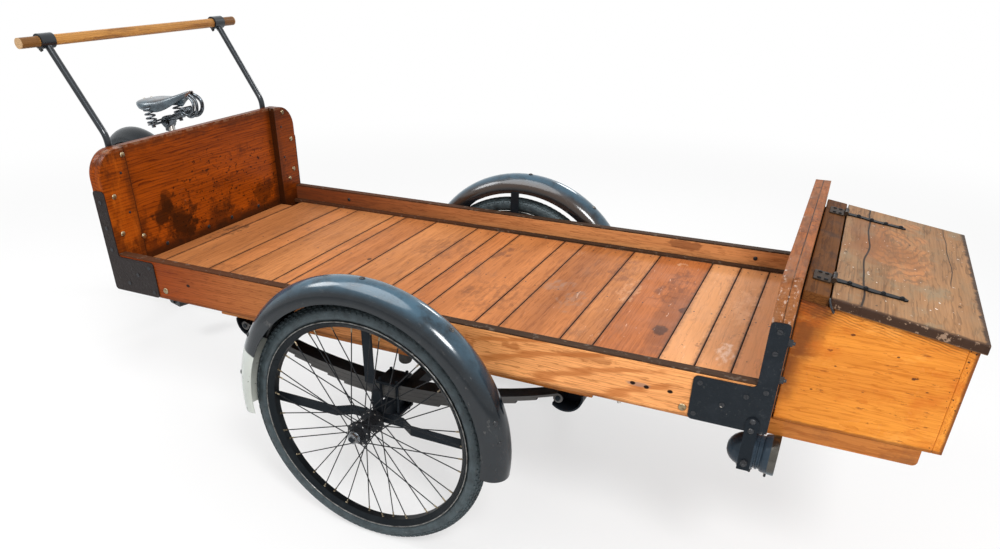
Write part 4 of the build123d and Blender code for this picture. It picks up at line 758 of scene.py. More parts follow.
# %% Lid strip and beams
strip = timber(Finish("lid_strip_varnish"), "Y", (0.045, 0.014, 0.003), (0.17, 0.064, 0.016),
               (0.93, 0.0, 0.55), 0.006, 8.0)
stain(strip, strip.patches(14, 0.52, 0.66, 6, 0.7), (0.05, 0.024, 0.014), 0.7)
varnish(strip, 0.58, 0.16, shine=0.06)
dress(strip, "chest_top_strip")
beams = timber(Finish("beam_varnish"), "X", (0.26, 0.070, 0.010), (0.56, 0.205, 0.045), (0.0, 0.31, 0.44),
               0.007, 7.0)
stain(beams, beams.patches(11, 0.50, 0.68, 5, 0.65), (0.16, 0.06, 0.022), 0.5)
varnish(beams, 0.34, 0.2)
dress(beams, "floor_bearers", "spring_rails", "chest_runners")
print("strip and beams dressed")

# %% Push bar
BAR_HALF = 0.399
bar = timber(Finish("bar_varnish"), "Y", (0.24, 0.090, 0.016), (0.62, 0.31, 0.085), (-1.0, 0.03, 1.12),
             0.005, 5.0)
stain(bar, bar.patches((30, 5, 30), 0.52, 0.64, 5, 0.65), (0.17, 0.065, 0.022), 0.55)
outward = abs_wire(bar.axis("Y"))
ragged_outward = outward + (bar.noise(bar.place(), 60, 4) - 0.5) * 0.012
stain(bar, bar.step(ragged_outward, 0.338, 0.350), (0.13, 0.056, 0.018), 0.85)
stain(bar, bar.step(outward, BAR_HALF - 0.003, BAR_HALF), (0.60, 0.40, 0.22), 0.7)
varnish(bar, 0.30, 0.15, 0.25)
dress(bar, "push_bar")
print("push bar dressed")

# %% Edge strips
strips = timber(Finish("edge_strip_weathered"), "X", (0.014, 0.008, 0.005), (0.070, 0.036, 0.020),
                (0.0, 0.40, 0.52), 0.004, 5.0)
rearward = strips.step(strips.axis("X"), 0.2, -0.6)
stain(strips, rearward * 0.45, (0.12, 0.036, 0.012))
stain(strips, strips.patches(60, 0.56, 0.66, 5, 0.65), (0.20, 0.16, 0.125), 0.42)
varnish(strips, 0.66, 0.12, 0.6, 0.06)
dress(strips, "edge_strips")
print("edge strips dressed")

# %% [markdown]
# ## Painted iron
# Old ironwork is brush-painted: the coat is thick, pitted, and worn through in small
# spots. Each part is one dark colour, so its life comes from how the gloss and the
# height change from place to place, not from the colour. One function makes them all,
# and a part that needs more, such as the hammered corner plates, adds to its result.


# %% Painted and bare iron
def painted(name, colour, rough, gloss_change, pit_size, pit_depth, worn, worn_colour, coat=0.0):
    """Paint over iron: mottled gloss, pits, and small bare spots."""
    finish = Finish(name, specular_ior_level=0.14, specular_tint=(0.70, 0.87, 1.0))
    mottle = finish.noise(finish.place(), 24.0, 6, 0.65)
    pits = finish.noise(finish.place(), pit_size, 4, 0.6)
    bare = finish.patches(52.0, 0.68 - worn, 0.72 - worn, 8, 0.75)
    lighter = tuple(min(1.0, c * 1.9 + 0.006) for c in colour)
    finish.colour = finish.mix((mottle - 0.5) * 2.2, colour, lighter)
    finish.colour = finish.mix(bare, finish.colour, worn_colour)
    finish.set(base_color=finish.colour, roughness=(mottle - 0.5) * gloss_change + rough + bare * 0.2)
    finish.set(normal=finish.bump(pits, pit_depth, 0.0007), coat_weight=coat)
    print(name, "painted")
    return finish


# %% Black ironwork, arms and plates
BLUISH_COAT = (0.80, 0.92, 1.0)
iron = painted("black_ironwork", (0.008, 0.010, 0.013), 0.36, 0.5, 260, 0.55, 0.010, (0.16, 0.15, 0.14))
dress(iron, "mudguard_stays", "spring_hangers", "axle_clamps", "lamp_strap", "front_axle")
arms = painted("bar_arm_paint", (0.011, 0.011, 0.012), 0.34, 0.05, 60, 0.01, 0.0, (0.20, 0.17, 0.14), 0.8)
arms.set(coat_roughness=0.16, coat_tint=BLUISH_COAT)
dress(arms, "push_bar_arms")
plates = painted("corner_plate_paint", (0.007, 0.009, 0.012), 0.40, 0.5, 230, 1.0, 0.022,
                 (0.20, 0.19, 0.17), 0.1)
rusty = plates.step(plates.axis("X"), -0.2, -0.5)
plates.colour = plates.mix(rusty * 0.6, plates.colour, (0.020, 0.008, 0.003))
hammered = plates.noise(plates.place(), 150.0, 5, 0.7)
# painted glints: the hammered high spots are painted paler, as the flecks of light they catch
high_spot_glints = plates.step(hammered, 0.60, 0.66)
plates.colour = plates.mix(high_spot_glints * 0.28, plates.colour, (0.07, 0.07, 0.066))
plates.set(base_color=plates.colour, normal=plates.bump(hammered, 0.8, 0.0018))
dress(plates, "corner_plates")

# %% Springs, wheels, frame and hinges
springs = painted("spring_steel", (0.008, 0.008, 0.009), 0.45, 0.5, 190, 0.5, 0.02, (0.09, 0.055, 0.035))
# painted highlight: both sides of the leaves are painted lighter, so that the leaves show as lines
leaf_side_highlight = springs.step(abs_wire(springs.facing("Y")), 0.6, 0.8)
springs.set(base_color=springs.mix(leaf_side_highlight * 0.8, springs.colour, (0.13, 0.125, 0.12)))
dress(springs, "leaf_springs")
dark_steel = painted("dark_steel", (0.016, 0.017, 0.019), 0.32, 0.5, 300, 0.35, 0.04, (0.16, 0.13, 0.11), 0.1)
dress(dark_steel, "crank_set", "chain", "saddle_springs", "rear_axle")
rims = painted("rim_enamel", (0.006, 0.007, 0.008), 0.34, 0.4, 150, 0.2, -0.02, (0.12, 0.10, 0.09))
dress(rims, "front_right_rim", "front_left_rim", "rear_rim")
spokes = painted("spoke_enamel", (0.012, 0.012, 0.013), 0.40, 0.4, 150, 0.2, 0.04, (0.12, 0.105, 0.09))
dress(spokes, "front_right_spoked_hub", "front_left_spoked_hub", "rear_spoked_hub")
frame_paint = painted("frame_enamel", (0.008, 0.009, 0.011), 0.30, 0.4, 140, 0.2, 0.0,
                      (0.14, 0.11, 0.09), 0.1)
dress(frame_paint, "frame_tubes")
hinge_iron = painted("hinge_iron", (0.008, 0.007, 0.007), 0.46, 0.5, 300, 0.35, 0.015, (0.10, 0.075, 0.055))
dress(hinge_iron, "lid_straps")
hinge_brown = painted("hinge_leaf_paint", (0.030, 0.017, 0.009), 0.5, 0.4, 260, 0.5, 0.02,
                      (0.14, 0.085, 0.045))
dress(hinge_brown, "hinge_leaves")
iron_worn = painted("worn_iron_heads", (0.030, 0.030, 0.032), 0.36, 0.5, 240, 0.4, 0.09,
                    (0.34, 0.31, 0.27), 0.1)

# %% [markdown]
# ## Bright metal
# Nickel, brass and bare steel reflect the studio, so their colour is the colour of the
# mirror image. What makes them old is tarnish: a slow noise dulls patches of the mirror,
# and a fine one adds dark spots.


# %% Nickel, brass and steel
def bare_metal(name, colour, rough, tarnish):
    """Plated or bare steel, dulled in patches."""
    finish = Finish(name, metallic=1.0)
    dull = finish.noise(finish.place(), 70.0, 5, 0.65)
    spots = finish.patches(210.0, 0.60, 0.68, 4, 0.6)
    colour = finish.mix(finish.step(dull, 0.38, 0.70), colour, tarnish)
    finish.set(base_color=finish.mix(spots * 0.6, colour, tuple(c * 0.35 for c in tarnish)))
    finish.set(roughness=(dull - 0.5) * 0.5 + rough, normal=finish.bump(dull, 0.12, 0.0004))
    print(name, "made")
    return finish


nickel = bare_metal("dull_nickel", (0.60, 0.58, 0.53), 0.30, (0.34, 0.30, 0.25))
brass = bare_metal("pale_brass", (0.36, 0.29, 0.18), 0.34, (0.16, 0.11, 0.06))
nipple_brass = bare_metal("nipple_brass", (0.30, 0.25, 0.17), 0.36, (0.12, 0.09, 0.06))
steel = bare_metal("bare_steel", (0.42, 0.41, 0.40), 0.36, (0.20, 0.16, 0.13))
saddle_wire = bare_metal("saddle_spring_wire", (0.15, 0.17, 0.19), 0.30, (0.030, 0.030, 0.030))
nut_steel = bare_metal("hub_nut_steel", (0.34, 0.36, 0.38), 0.30, (0.13, 0.125, 0.12))
rim_edge = bare_metal("rim_edge_steel", (0.26, 0.26, 0.25), 0.34, (0.07, 0.065, 0.06))
dress(steel, "seat_post")

# %% [markdown]
# ## The mudguards
# Stove enamel is smoother and glossier than brushed paint. A blue-grey painted highlight lies along the
# crown, and a brown painted reflection of the boards lies on the sides that face the load. The white tails of
# the front mudguards were painted by hand. Their edge is a line from the wheel's centre, so the angle round
# that centre, worked out with an arctangent, tells white from black.

# %% Rear mudguard
rear_guard = painted("rear_mudguard_enamel", (0.004, 0.006, 0.008), 0.30, 0.4, 60, 0.06, -0.02,
                     (0.20, 0.15, 0.10), 0.35)
rear_guard.set(specular_ior_level=0.05, coat_roughness=0.15, coat_tint=BLUISH_COAT)
dress(rear_guard, "rear_mudguard")

# %% Front mudguards: painted highlight, painted reflection and scuffs
GUARD_AHEAD, GUARD_RISE = 0.020, 0.358
guards = painted("mudguard_enamel", (0.004, 0.006, 0.008), 0.30, 0.35, 60, 0.06, -0.02,
                 (0.20, 0.15, 0.10), 0.9)
guards.set(specular_ior_level=0.05, coat_roughness=0.15, coat_tint=BLUISH_COAT)
scuffs = guards.patches((30, 200, 30), 0.60, 0.70, 6, 0.7, 0.5)
# painted highlight: the upward-facing crown is painted blue-grey, as the sky it reflects
crown_highlight = guards.step(guards.facing("Z"), 0.30, 0.90) * guards.patches(14, 0.22, 0.60, 6, 0.7)
guards.colour = guards.mix(crown_highlight * 0.75, guards.colour, (0.070, 0.140, 0.190))
# painted reflection: the upper flanks that face the load are painted brown, as the boards seen in the enamel
inward = guards.facing("Y") * ((guards.axis("Y") > 0.0) * -2 + 1)
wood_reflection = guards.step(inward, 0.45, 0.85) * guards.step(guards.facing("Z"), 0.05, 0.35)
guards.colour = guards.mix(wood_reflection * 0.5, guards.colour, (0.095, 0.048, 0.024))
guards.colour = guards.mix(scuffs * 0.3, guards.colour, (0.24, 0.20, 0.17))

# %% Front mudguards: white tails
WHITE_BELOW = 24.0
behind = guards.axis("X") * -1 + GUARD_AHEAD
turned_up = (guards.axis("Z") - GUARD_RISE).maths("ARCTAN2", behind) * (180 / math.pi)
ragged_edge = turned_up + (guards.noise(guards.place(), 30, 5) - 0.5) * 1.5
tail = guards.step(ragged_edge, WHITE_BELOW + 0.4, WHITE_BELOW - 0.4) * (behind > 0.0)
chipped = guards.patches(42, 0.62, 0.66, 7, 0.72)
white_paint = guards.mix(guards.noise(guards.place(), 10, 6, 0.7), (0.47, 0.42, 0.35), (0.74, 0.68, 0.58))
white_paint = guards.mix(chipped * 0.8, white_paint, (0.10, 0.08, 0.06))
gloss = (guards.noise(guards.place(), 18, 6, 0.65) - 0.5) * 0.35 + 0.20
guards.set(base_color=guards.mix(tail, guards.colour, white_paint))
guards.set(roughness=gloss + tail * 0.22 + scuffs * 0.15)
dress(guards, "mudguards")
print("mudguards white below", WHITE_BELOW, "degrees")

# %% [markdown]
# ## Rubber
# Tyre rubber is a dark bluish grey that scuffing makes paler in fine patches, and dust
# stays in it. The moulded rubber of the pedals and bump stops is blacker and rougher.

# %% Tyres, pedals and bump stops
rubber = Finish("tyre_rubber", specular_ior_level=0.5, specular_tint=(0.80, 0.93, 1.0))
scuff = rubber.noise(rubber.place(), 34.0, 7, 0.74)
dust = rubber.noise(rubber.place(), 75.0, 5, 0.65)
tyre_grey = rubber.mix(rubber.step(scuff, 0.30, 0.70), (0.012, 0.016, 0.018), (0.050, 0.067, 0.073))
tyre_grey = rubber.mix(rubber.step(dust, 0.62, 0.72) * 0.4, tyre_grey, (0.16, 0.165, 0.155))
rubber.set(base_color=tyre_grey, roughness=(scuff - 0.5) * 0.5 + 0.50, normal=rubber.bump(dust, 0.3, 0.0005))
black_rubber = Finish("moulded_rubber", specular_ior_level=0.4)
smears = black_rubber.noise(black_rubber.place(), 45.0, 6, 0.7)
black_rubber.set(base_color=black_rubber.mix(smears, (0.012, 0.012, 0.012), (0.06, 0.055, 0.05)),
                 roughness=(smears - 0.5) * 0.4 + 0.6, normal=black_rubber.bump(smears, 0.35, 0.0006))
dress(black_rubber, "bump_stops", "right_pedal", "left_pedal")
print("rubber made")

# %% [markdown]
# ## Leather
# Saddle leather is polished by the rider's clothes where they sit and dull elsewhere. It is almost black
# here, bluish where it shines, with a pale blue painted highlight on the skirt, and brown along the ridge and
# at the nose where the dye has gone. The grain is the edges of small Voronoi cells, kept shallow.

# %% Saddle leather
leather = Finish("saddle_leather", coat_weight=0.5, coat_roughness=0.22, coat_tint=(0.75, 0.90, 1.0))
cells = leather.node("TexVoronoi", {"feature": "DISTANCE_TO_EDGE"},
                     {"Vector": leather.place(), "Scale": 620.0})
polish = leather.noise(leather.place(), 16.0, 6, 0.65)
hide = leather.mix(leather.step(polish, 0.35, 0.65), (0.020, 0.027, 0.034), (0.075, 0.098, 0.112))
ridge = leather.step(leather.facing("Z"), 0.72, 0.92) * leather.step(polish, 0.62, 0.42)
hide = leather.mix(ridge * 0.8, hide, (0.085, 0.048, 0.034))
# painted highlight: the pale blue patch on the skirt stands for the light it reflects, not for rubbed leather
rubbed = leather.spot(tuple(saddle_place(15, 60, 58) - START), (0.07, 0.07, 0.03), 0.9, 40)
hide = leather.mix(rubbed * 0.5, hide, (0.22, 0.31, 0.37))
nose_worn = leather.spot(tuple(saddle_place(150, 0, 68) - START), (0.03, 0.03, 0.02), 0.4, 50)
hide = leather.mix(nose_worn * 0.8, hide, (0.20, 0.075, 0.030))
grain = leather.step(cells, 0.0, 0.16) + polish * 0.4
leather.set(base_color=hide, roughness=(polish - 0.5) * -0.5 + 0.30, normal=leather.bump(grain, 0.10, 0.0003))
dress(leather, "saddle_top")
print("leather made")

# %% [markdown]
# ## Lamp glass and lamp enamel
# The lens is pressed glass with upright ribs 6 mm apart, which spread the beam sideways.
# Ribs are a slow wave in height, so a Bump node is enough and the disc can stay flat. The
# lamp's enamel is bluish black, and a bare rim holds the glass.

# %% Lens and lamp body
RIB_SPACING = 0.006
glass = Finish("lamp_glass", ior=1.5, coat_weight=0.5, transmission_weight=0.85)
haze = glass.noise(glass.place(), 60.0, 4)
ribs = glass.node("TexWave", {"wave_type": "BANDS", "bands_direction": "Y"},
                  {"Vector": glass.place(), "Scale": math.pi / 10 / RIB_SPACING})
glass.set(base_color=glass.mix(haze, (0.80, 0.84, 0.82), (0.94, 0.95, 0.93)), roughness=haze * 0.2 + 0.05,
          normal=glass.bump(ribs, 0.5, 0.001))
dress(glass, "headlamp_lens")
lamp_paint = painted("lamp_enamel", (0.022, 0.034, 0.048), 0.24, 0.4, 120, 0.18, 0.01,
                     (0.20, 0.15, 0.10), 0.2)
bare_rim = lamp_paint.step(lamp_paint.axis("X"), 0.924, 0.926)
lamp_paint.colour = lamp_paint.mix(bare_rim, lamp_paint.colour, (0.085, 0.080, 0.070))
lamp_paint.set(base_color=lamp_paint.colour, metallic=bare_rim * 0.9)
dress(lamp_paint, "headlamp_shell")
print("all finishes made")

# %% [markdown]
# ## A bench for making pieces
# Bolts, nuts, spokes' nipples, wires and springs are all one of three shapes: a profile
# turned about an axis, a wire drawn along a line, or an outline given a thickness. One
# class gathers such shapes as plain points and faces, and makes one mesh of them.


# %% Seats: where a shape stands and which way it points
def seat(place, out, along=(0, 0, 1)):
    """A matrix whose Z points out of the surface and whose X follows along."""
    z = Vector(out).normalized()
    x = Vector(along) - z * Vector(along).dot(z)
    if x.length < 1e-6:
        x = z.orthogonal()
    x.normalize()
    spin = Matrix((x, z.cross(x), z)).transposed().to_4x4()
    return Matrix.Translation(place) @ spin


def spun(profile, where, sides):
    """The points of a profile turned about the seat's Z."""
    turns = [2 * math.pi * k / sides for k in range(sides)]
    return [where @ Vector((radius * math.cos(turn), radius * math.sin(turn), height))
            for turn in turns for radius, height in profile]


# %% The bench
class Bench:
    """Gathers shapes, then makes them one piece."""

    def __init__(self):
        self.points, self.faces = [], []

    def add(self, points, faces):
        first = len(self.points)
        self.points.extend(points)
        self.faces.extend([tuple(first + i for i in face) for face in faces])

    def turned(self, profile, where, sides=24):
        """A profile of (radius, height) pairs turned about the seat's Z."""
        points, faces, rings = spun(profile, where, sides), [], len(profile)
        for k in range(sides):
            a, b = k * rings, (k + 1) % sides * rings
            faces += [(a + i, b + i, b + i + 1, a + i + 1) for i in range(rings - 1)]
        if profile[0][0] > 0:
            faces.append(tuple(k * rings for k in reversed(range(sides))))
        if profile[-1][0] > 0:
            faces.append(tuple(k * rings + rings - 1 for k in range(sides)))
        self.add(points, faces)

    def ring(self, profile, where, sides=24):
        """A closed profile turned about the seat's Z, with no caps."""
        points, faces, count = spun(profile, where, sides), [], len(profile)
        for k in range(sides):
            a, b = k * count, (k + 1) % sides * count
            faces += [(a + i, b + i, b + (i + 1) % count, a + (i + 1) % count) for i in range(count)]
        self.add(points, faces)

    def wire(self, path, radius, sides=8):
        """A round wire drawn along a line of points, with closed ends."""
        path = [Vector(p) for p in path]
        last = len(path) - 1
        points, faces, side = [], [], None
        for i, spot in enumerate(path):
            run = (path[min(i + 1, last)] - path[max(i - 1, 0)]).normalized()
            side = run.orthogonal() if side is None else side - run * side.dot(run)
            side.normalize()
            up = run.cross(side)
            for k in range(sides):
                turn = 2 * math.pi * k / sides
                points.append(spot + side * (radius * math.cos(turn)) + up * (radius * math.sin(turn)))
        for i in range(last):
            a, b = i * sides, (i + 1) * sides
            faces += [(a + k, a + (k + 1) % sides, b + (k + 1) % sides, b + k) for k in range(sides)]
        faces.append(tuple(reversed(range(sides))))
        faces.append(tuple(last * sides + k for k in range(sides)))
        self.add(points, faces)

    def slab(self, outline, thickness, where):
        """A flat outline in the seat's XY, given a thickness along its Z."""
        count = len(outline)
        points = [where @ Vector((x, y, h)) for h in (0, thickness) for x, y in outline]
        faces = [tuple(reversed(range(count))), tuple(count + i for i in range(count))]
        faces += [(i, (i + 1) % count, count + (i + 1) % count, count + i) for i in range(count)]
        self.add(points, faces)

    def made(self, name, body, slot, finish, sharp, replaced=()):
        """Makes one mesh of all the shapes, and says what it rides on and what it replaces."""
        data = bpy.data.meshes.new(name)
        data.from_pydata(self.points, [], self.faces)
        data.shade_smooth()
        data.set_sharp_from_angle(angle=math.radians(sharp))
        data.materials.append(finish.material)
        piece = bpy.data.objects.new(name, data)
        bpy.context.scene.collection.objects.link(piece)
        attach(piece, body)
        if replaced:
            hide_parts(*replaced)
        print(name, len(data.polygons), "faces")
        return piece


# %% Profiles, outlines and lines that many pieces share
SUNK, SKIRT = 0.0002, 0.0005
DOME_STEPS, COIL_STEPS = 6, 14


def dome(radius, height):
    """The profile of a domed bolt head, sunk a hair into what it holds."""
    turns = [math.pi / 2 * k / DOME_STEPS for k in range(DOME_STEPS)]
    curve = [(radius * math.cos(turn), SKIRT + height * math.sin(turn)) for turn in turns]
    return [(radius, -SUNK)] + curve + [(0.0, SKIRT + height)]


def disc(radius, low, high):
    """The profile of a plain round slice."""
    return [(0, low), (radius, low), (radius, high), (0, high)]


def arc(radius, start, turn, steps, centre=(0.0, 0.0)):
    """Points along an arc, its start and turn in radians."""
    return [(centre[0] + radius * math.cos(start + turn * k / steps),
             centre[1] + radius * math.sin(start + turn * k / steps)) for k in range(steps + 1)]


def six_sided(radius):
    """A hexagon by the distance from its middle to its corners."""
    return [(radius * math.cos(math.pi / 3 * k), radius * math.sin(math.pi / 3 * k)) for k in range(6)]


def hexagon(across):
    """A hexagon by its width across the flats, as a spanner is measured."""
    return six_sided(across / math.sqrt(3))


def smooth_line(spots, steps):
    """A Catmull-Rom curve through the spots."""
    spots = [Vector(s) for s in spots]
    last, line = len(spots) - 1, []
    for i in range(last):
        a, b, c, d = (spots[min(max(i + k - 1, 0), last)] for k in range(4))
        for k in range(steps):
            t = k / steps
            line.append(0.5 * ((2 * b) + (c - a) * t + (2 * a - 5 * b + 4 * c - d) * t ** 2
                               + (3 * b - a - 3 * c + d) * t ** 3))
    return line + [spots[-1]]


def coil(foot, axis, radius, length, turns, start=0.0):
    """A helix from the foot along the axis."""
    where = seat(foot, axis)
    count = round(turns * COIL_STEPS)
    spots = []
    for k in range(count + 1):
        turn = start + 2 * math.pi * turns * k / count
        spots.append(where @ Vector((radius * math.cos(turn), radius * math.sin(turn), length * k / count)))
    return spots


print("a bolt head is turned from", len(dome(0.006, 0.003)), "points of its profile")

# %% [markdown]
# ## The saddle
# One piece of thick leather is stretched over a wire frame, with nothing under it, so it
# sags between the nose and the back and its sides hang down as a skirt. Two upright coil
# springs carry the back, and two wires loop forward from a small coil and up to the nose.
# The leather is a grid of points whose height and width follow a few stations, because
# the sag, the crown and the skirt are all slow curves. A subdivision keeps them slow.

# %% Sections of the leather top
# ahead, half the width, height of the ridge, drop of the skirt below the ridge
STATIONS = ((-76, 32, 84, 10), (-73, 58, 85, 17), (-62, 76, 86, 26), (-38, 85, 84, 31), (-8, 84, 80, 38),
            (22, 74, 78, 44), (50, 55, 77, 38), (80, 39, 79, 27), (108, 30, 82, 20), (132, 26, 85, 16),
            (146, 19, 86, 12), (153, 9, 85, 7))


def saddle_section(ahead, half, ridge, drop, thickness):
    """Half-round over the top, then the skirt hangs almost straight."""
    ring = []
    for k in range(-10, 11):
        share = k / 10
        out = math.sin(share * math.pi / 2)
        fall = 0.24 * share ** 2 + 0.76 * abs(share) ** 5
        tuck = 1 - 0.08 * max(0.0, abs(share) - 0.85) / 0.15
        ring.append(saddle_place(ahead, (half - thickness) * out * tuck, ridge - thickness - drop * fall))
    return ring


print(len(STATIONS), "stations from", STATIONS[0][0], "to", STATIONS[-1][0], "mm ahead of the clamp")

# %% Leather top
LEATHER_THICK = 4.5
bench = Bench()
for thickness in (0.0, LEATHER_THICK):
    points = [p for station in STATIONS for p in saddle_section(*station, thickness)]
    bench.add(points, [])
rows, half_points = len(STATIONS), len(bench.points) // 2
across = half_points // rows
for i in range(rows - 1):
    for k in range(across - 1):
        a = i * across + k
        bench.faces.append((a, a + across, a + across + 1, a + 1))
        bench.faces.append(tuple(half_points + j for j in (a + 1, a + across + 1, a + across, a)))
for i in range(rows - 1):
    for a, turned in ((i * across, False), (i * across + across - 1, True)):
        edge = (a, a + half_points, a + across + half_points, a + across)
        bench.faces.append(tuple(reversed(edge)) if turned else edge)
for k in range(across - 1):
    for a, turned in ((k, True), ((rows - 1) * across + k, False)):
        edge = (a, a + half_points, a + 1 + half_points, a + 1)
        bench.faces.append(tuple(reversed(edge)) if turned else edge)
saddle_top = bench.made("saddle_leather_top", "rear_frame", "leather", leather, 80, ["saddle_top"])
round_off = saddle_top.modifiers.new("round_off", "SUBSURF")
round_off.levels = round_off.render_levels = 1

# %% Rivets
bench = Bench()
RIVETS = ((-64, -50, 79.5), (-68, -18, 86), (-68, 18, 86), (-64, 50, 79.5),
          (136, -9, 82.5), (136, 9, 82.5), (144, 0, 84.8))
for ahead, left, up in RIVETS:
    bench.turned(dome(0.0048, 0.0018), seat(saddle_place(ahead, left, up), SADDLE_UP), 14)
bench.made("saddle_rivets", "rear_frame", "bright_steel", nickel, 50)

# %% Springs and wires
# each wire: its thickness, its steps from point to point, and its points on the left side
WIRES = ((0.0042, 6, ((-66, 0, 68), (-62, 40, 66), (-48, 66, 61), (-26, 76, 58), (-8, 72, 60))),
         (0.0042, 8, ((-8, 72, -4), (-14, 50, -5), (-12, 26, -4), (0, 14, -3), (30, 12, 2), (66, 15, 8),
                      (96, 20, 14))),
         (0.0034, 8, ((-10, 62, 1), (-20, 36, 4), (-10, 18, 6), (22, 14, 10), (62, 17, 17), (96, 20, 24))),
         (0.0056, 8, ((104, 8, 12), (122, 12, 0), (146, 14, 2), (166, 15, 16), (174, 15, 38), (168, 13, 58),
                      (148, 9, 72), (126, 7, 73))),
         (0.0050, 8, ((104, 24, 20), (124, 24, 7), (144, 24, 10), (159, 23, 24), (164, 21, 42),
                      (156, 18, 58), (138, 13, 68), (118, 10, 70))))
bench = Bench()
for side in (-1, 1):
    foot = saddle_place(-8, side * 72, -2)
    bench.wire(coil(foot, SADDLE_UP, 0.0165, 0.060, 4.2, 1.0), 0.0031, 8)
    bench.turned(disc(0.019, -0.003, 0.001), seat(foot, SADDLE_UP), 20)
    bench.turned(disc(0.0075, -0.013, 0.0), seat(foot, SADDLE_UP), 6)
    bench.turned(disc(0.018, 0, 0.003), seat(saddle_place(-8, side * 72, 58), SADDLE_UP), 20)
    for thick, steps, spots in WIRES:
        line = [saddle_place(ahead, side * left, up) for ahead, left, up in spots]
        bench.wire(smooth_line(line, steps), thick)
bench.wire(coil(saddle_place(104, -26, 20), SADDLE_LEFT, 0.0125, 0.052, 6.0), 0.0034, 8)
bench.wire([saddle_place(104, -32, 20), saddle_place(104, 32, 20)], 0.005, 10)
clamp = [(0, -0.018), (0.021, -0.018), (0.022, -0.012), (0.022, 0.014), (0.017, 0.019), (0, 0.019)]
bench.turned(clamp, seat(saddle_place(0, 0, -6), SADDLE_LEFT), 28)
clamp_nut = [(0, 0), (0.015, 0), (0.015, 0.003), (0.011, 0.004), (0.011, 0.011), (0, 0.011)]
for side in (-1, 1):
    bench.turned(clamp_nut, seat(saddle_place(0, side * 19, -6), SADDLE_LEFT * side), 6)
bench.turned(disc(0.0175, -0.030, -0.002), seat(saddle_place(0, 0, -8), (0, 0, 1)), 24)
bench.made("saddle_wire_springs", "rear_frame", "dark_steel", saddle_wire, 50, ["saddle_springs"])

# %% [markdown]
# ## Tyres with a block tread
# A tread is rubber standing proud of the carcass, so it is real geometry: small blocks
# in staggered rows round a smooth tube. The tube is turned from a section, and each
# block is a short tapered box whose foot is sunk a little into it. The wheel keeps its
# outer radius, because the tube is drawn smaller by the height of the blocks.

# %% Tyre sizes
tyre_low, tyre_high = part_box("front_right_tyre")
TYRE_RADIUS = (tyre_high[2] - tyre_low[2]) / 2
TYRE_HALF = 0.024
TREAD = 0.0024
BLOCKS = 120
TREAD_ROWS = (-60, -42, -24, -8, 8, 24, 42, 60)
SECTION_HALF, SECTION_STEPS = 152, 28
BEAD_AT, BEAD_RISE = math.radians(108), 0.0009
BLOCK_LONG_SHARE, BLOCK_WIDE, BLOCK_TAPER, BLOCK_SUNK = 0.34, 5.6, 0.82, 0.0004
print("tyre radius", round(TYRE_RADIUS, 4), "with", BLOCKS * len(TREAD_ROWS), "blocks")


# %% Tyres
def make_tyre(wheel, hub, axle, body):
    """A smooth carcass with rows of tapered blocks on it."""
    where = seat(hub, axle)
    core = TYRE_RADIUS - TYRE_HALF
    half = TYRE_HALF - TREAD
    section = []
    for k in range(SECTION_STEPS + 1):
        turn = math.radians(-SECTION_HALF + 2 * SECTION_HALF * k / SECTION_STEPS)
        bead = BEAD_RISE if abs(abs(turn) - BEAD_AT) < 0.10 else 0.0
        section.append((core + (half + bead) * math.cos(turn), (half + bead) * math.sin(turn)))
    bench = Bench()
    bench.ring(section, where, 120)
    step = 2 * math.pi / BLOCKS
    for row, lean in enumerate(TREAD_ROWS):
        lean = math.radians(lean)
        for k in range(BLOCKS):
            turn = (k + 0.5 * (row % 2)) * step
            points = []
            for height, grow in ((half - BLOCK_SUNK, 1.0), (TYRE_HALF, BLOCK_TAPER)):
                for a, b in ((-1, -1), (1, -1), (1, 1), (-1, 1)):
                    around = turn + a * grow * step * BLOCK_LONG_SHARE
                    over = lean + b * grow * math.radians(BLOCK_WIDE)
                    radius = core + height * math.cos(over)
                    spot = (radius * math.cos(around), radius * math.sin(around), height * math.sin(over))
                    points.append(where @ Vector(spot))
            bench.add(points, [(4, 5, 6, 7), (0, 1, 5, 4), (1, 2, 6, 5), (2, 3, 7, 6), (3, 0, 4, 7)])
    bench.made(wheel + "_treaded_tyre", body, "tyre", rubber, 40, [wheel + "_tyre"])


WHEELS = (("front_right", right_hub, Vector((0, -1, 0)), "front_wheel_right"),
          ("front_left", left_hub, Vector((0, 1, 0)), "front_wheel_left"),
          ("rear", rear_hub, -ACROSS, "rear_wheel"))
for wheel, hub, axle, body in WHEELS:
    make_tyre(wheel, hub, axle, body)

# %% [markdown]
# ## Rims, nipples and hubs
# Each spoke ends in a brass nipple that pulls on the rim, and the rim has a rolled bright
# edge. The hub is a barrel between two flanges with a grease band in the middle, closed
# by a cone, a washer and a nut. They are turned shapes, all made by the same profile
# call.

# %% Lines of the spokes
SPOKES_A_SIDE = 18
RIM_INSIDE = TYRE_RADIUS - 0.0573
ROOT_RADIUS = 0.026
CROSSING = math.radians(62)


def spoke_line(side, lead, index, flange_at):
    """Root and tip of one spoke in the wheel's own directions."""
    turn = math.radians((index + lead / 2 + 0.25 * side) * 360 / SPOKES_A_SIDE)
    end = turn + lead * CROSSING
    aside = side * (flange_at + lead * 0.0024)
    root = Vector((ROOT_RADIUS * math.cos(turn), ROOT_RADIUS * math.sin(turn), aside))
    tip = Vector((RIM_INSIDE * math.cos(end), RIM_INSIDE * math.sin(end), side * 0.004))
    return root, tip


print(2 * SPOKES_A_SIDE, "spokes a wheel, to a radius of", round(RIM_INSIDE, 4))

# %% Nipples and heads of the spokes
NIPPLE = [(0.0014, -0.013), (0.0021, -0.012), (0.0021, -0.001), (0.0034, 0.0), (0.0034, 0.0016)]


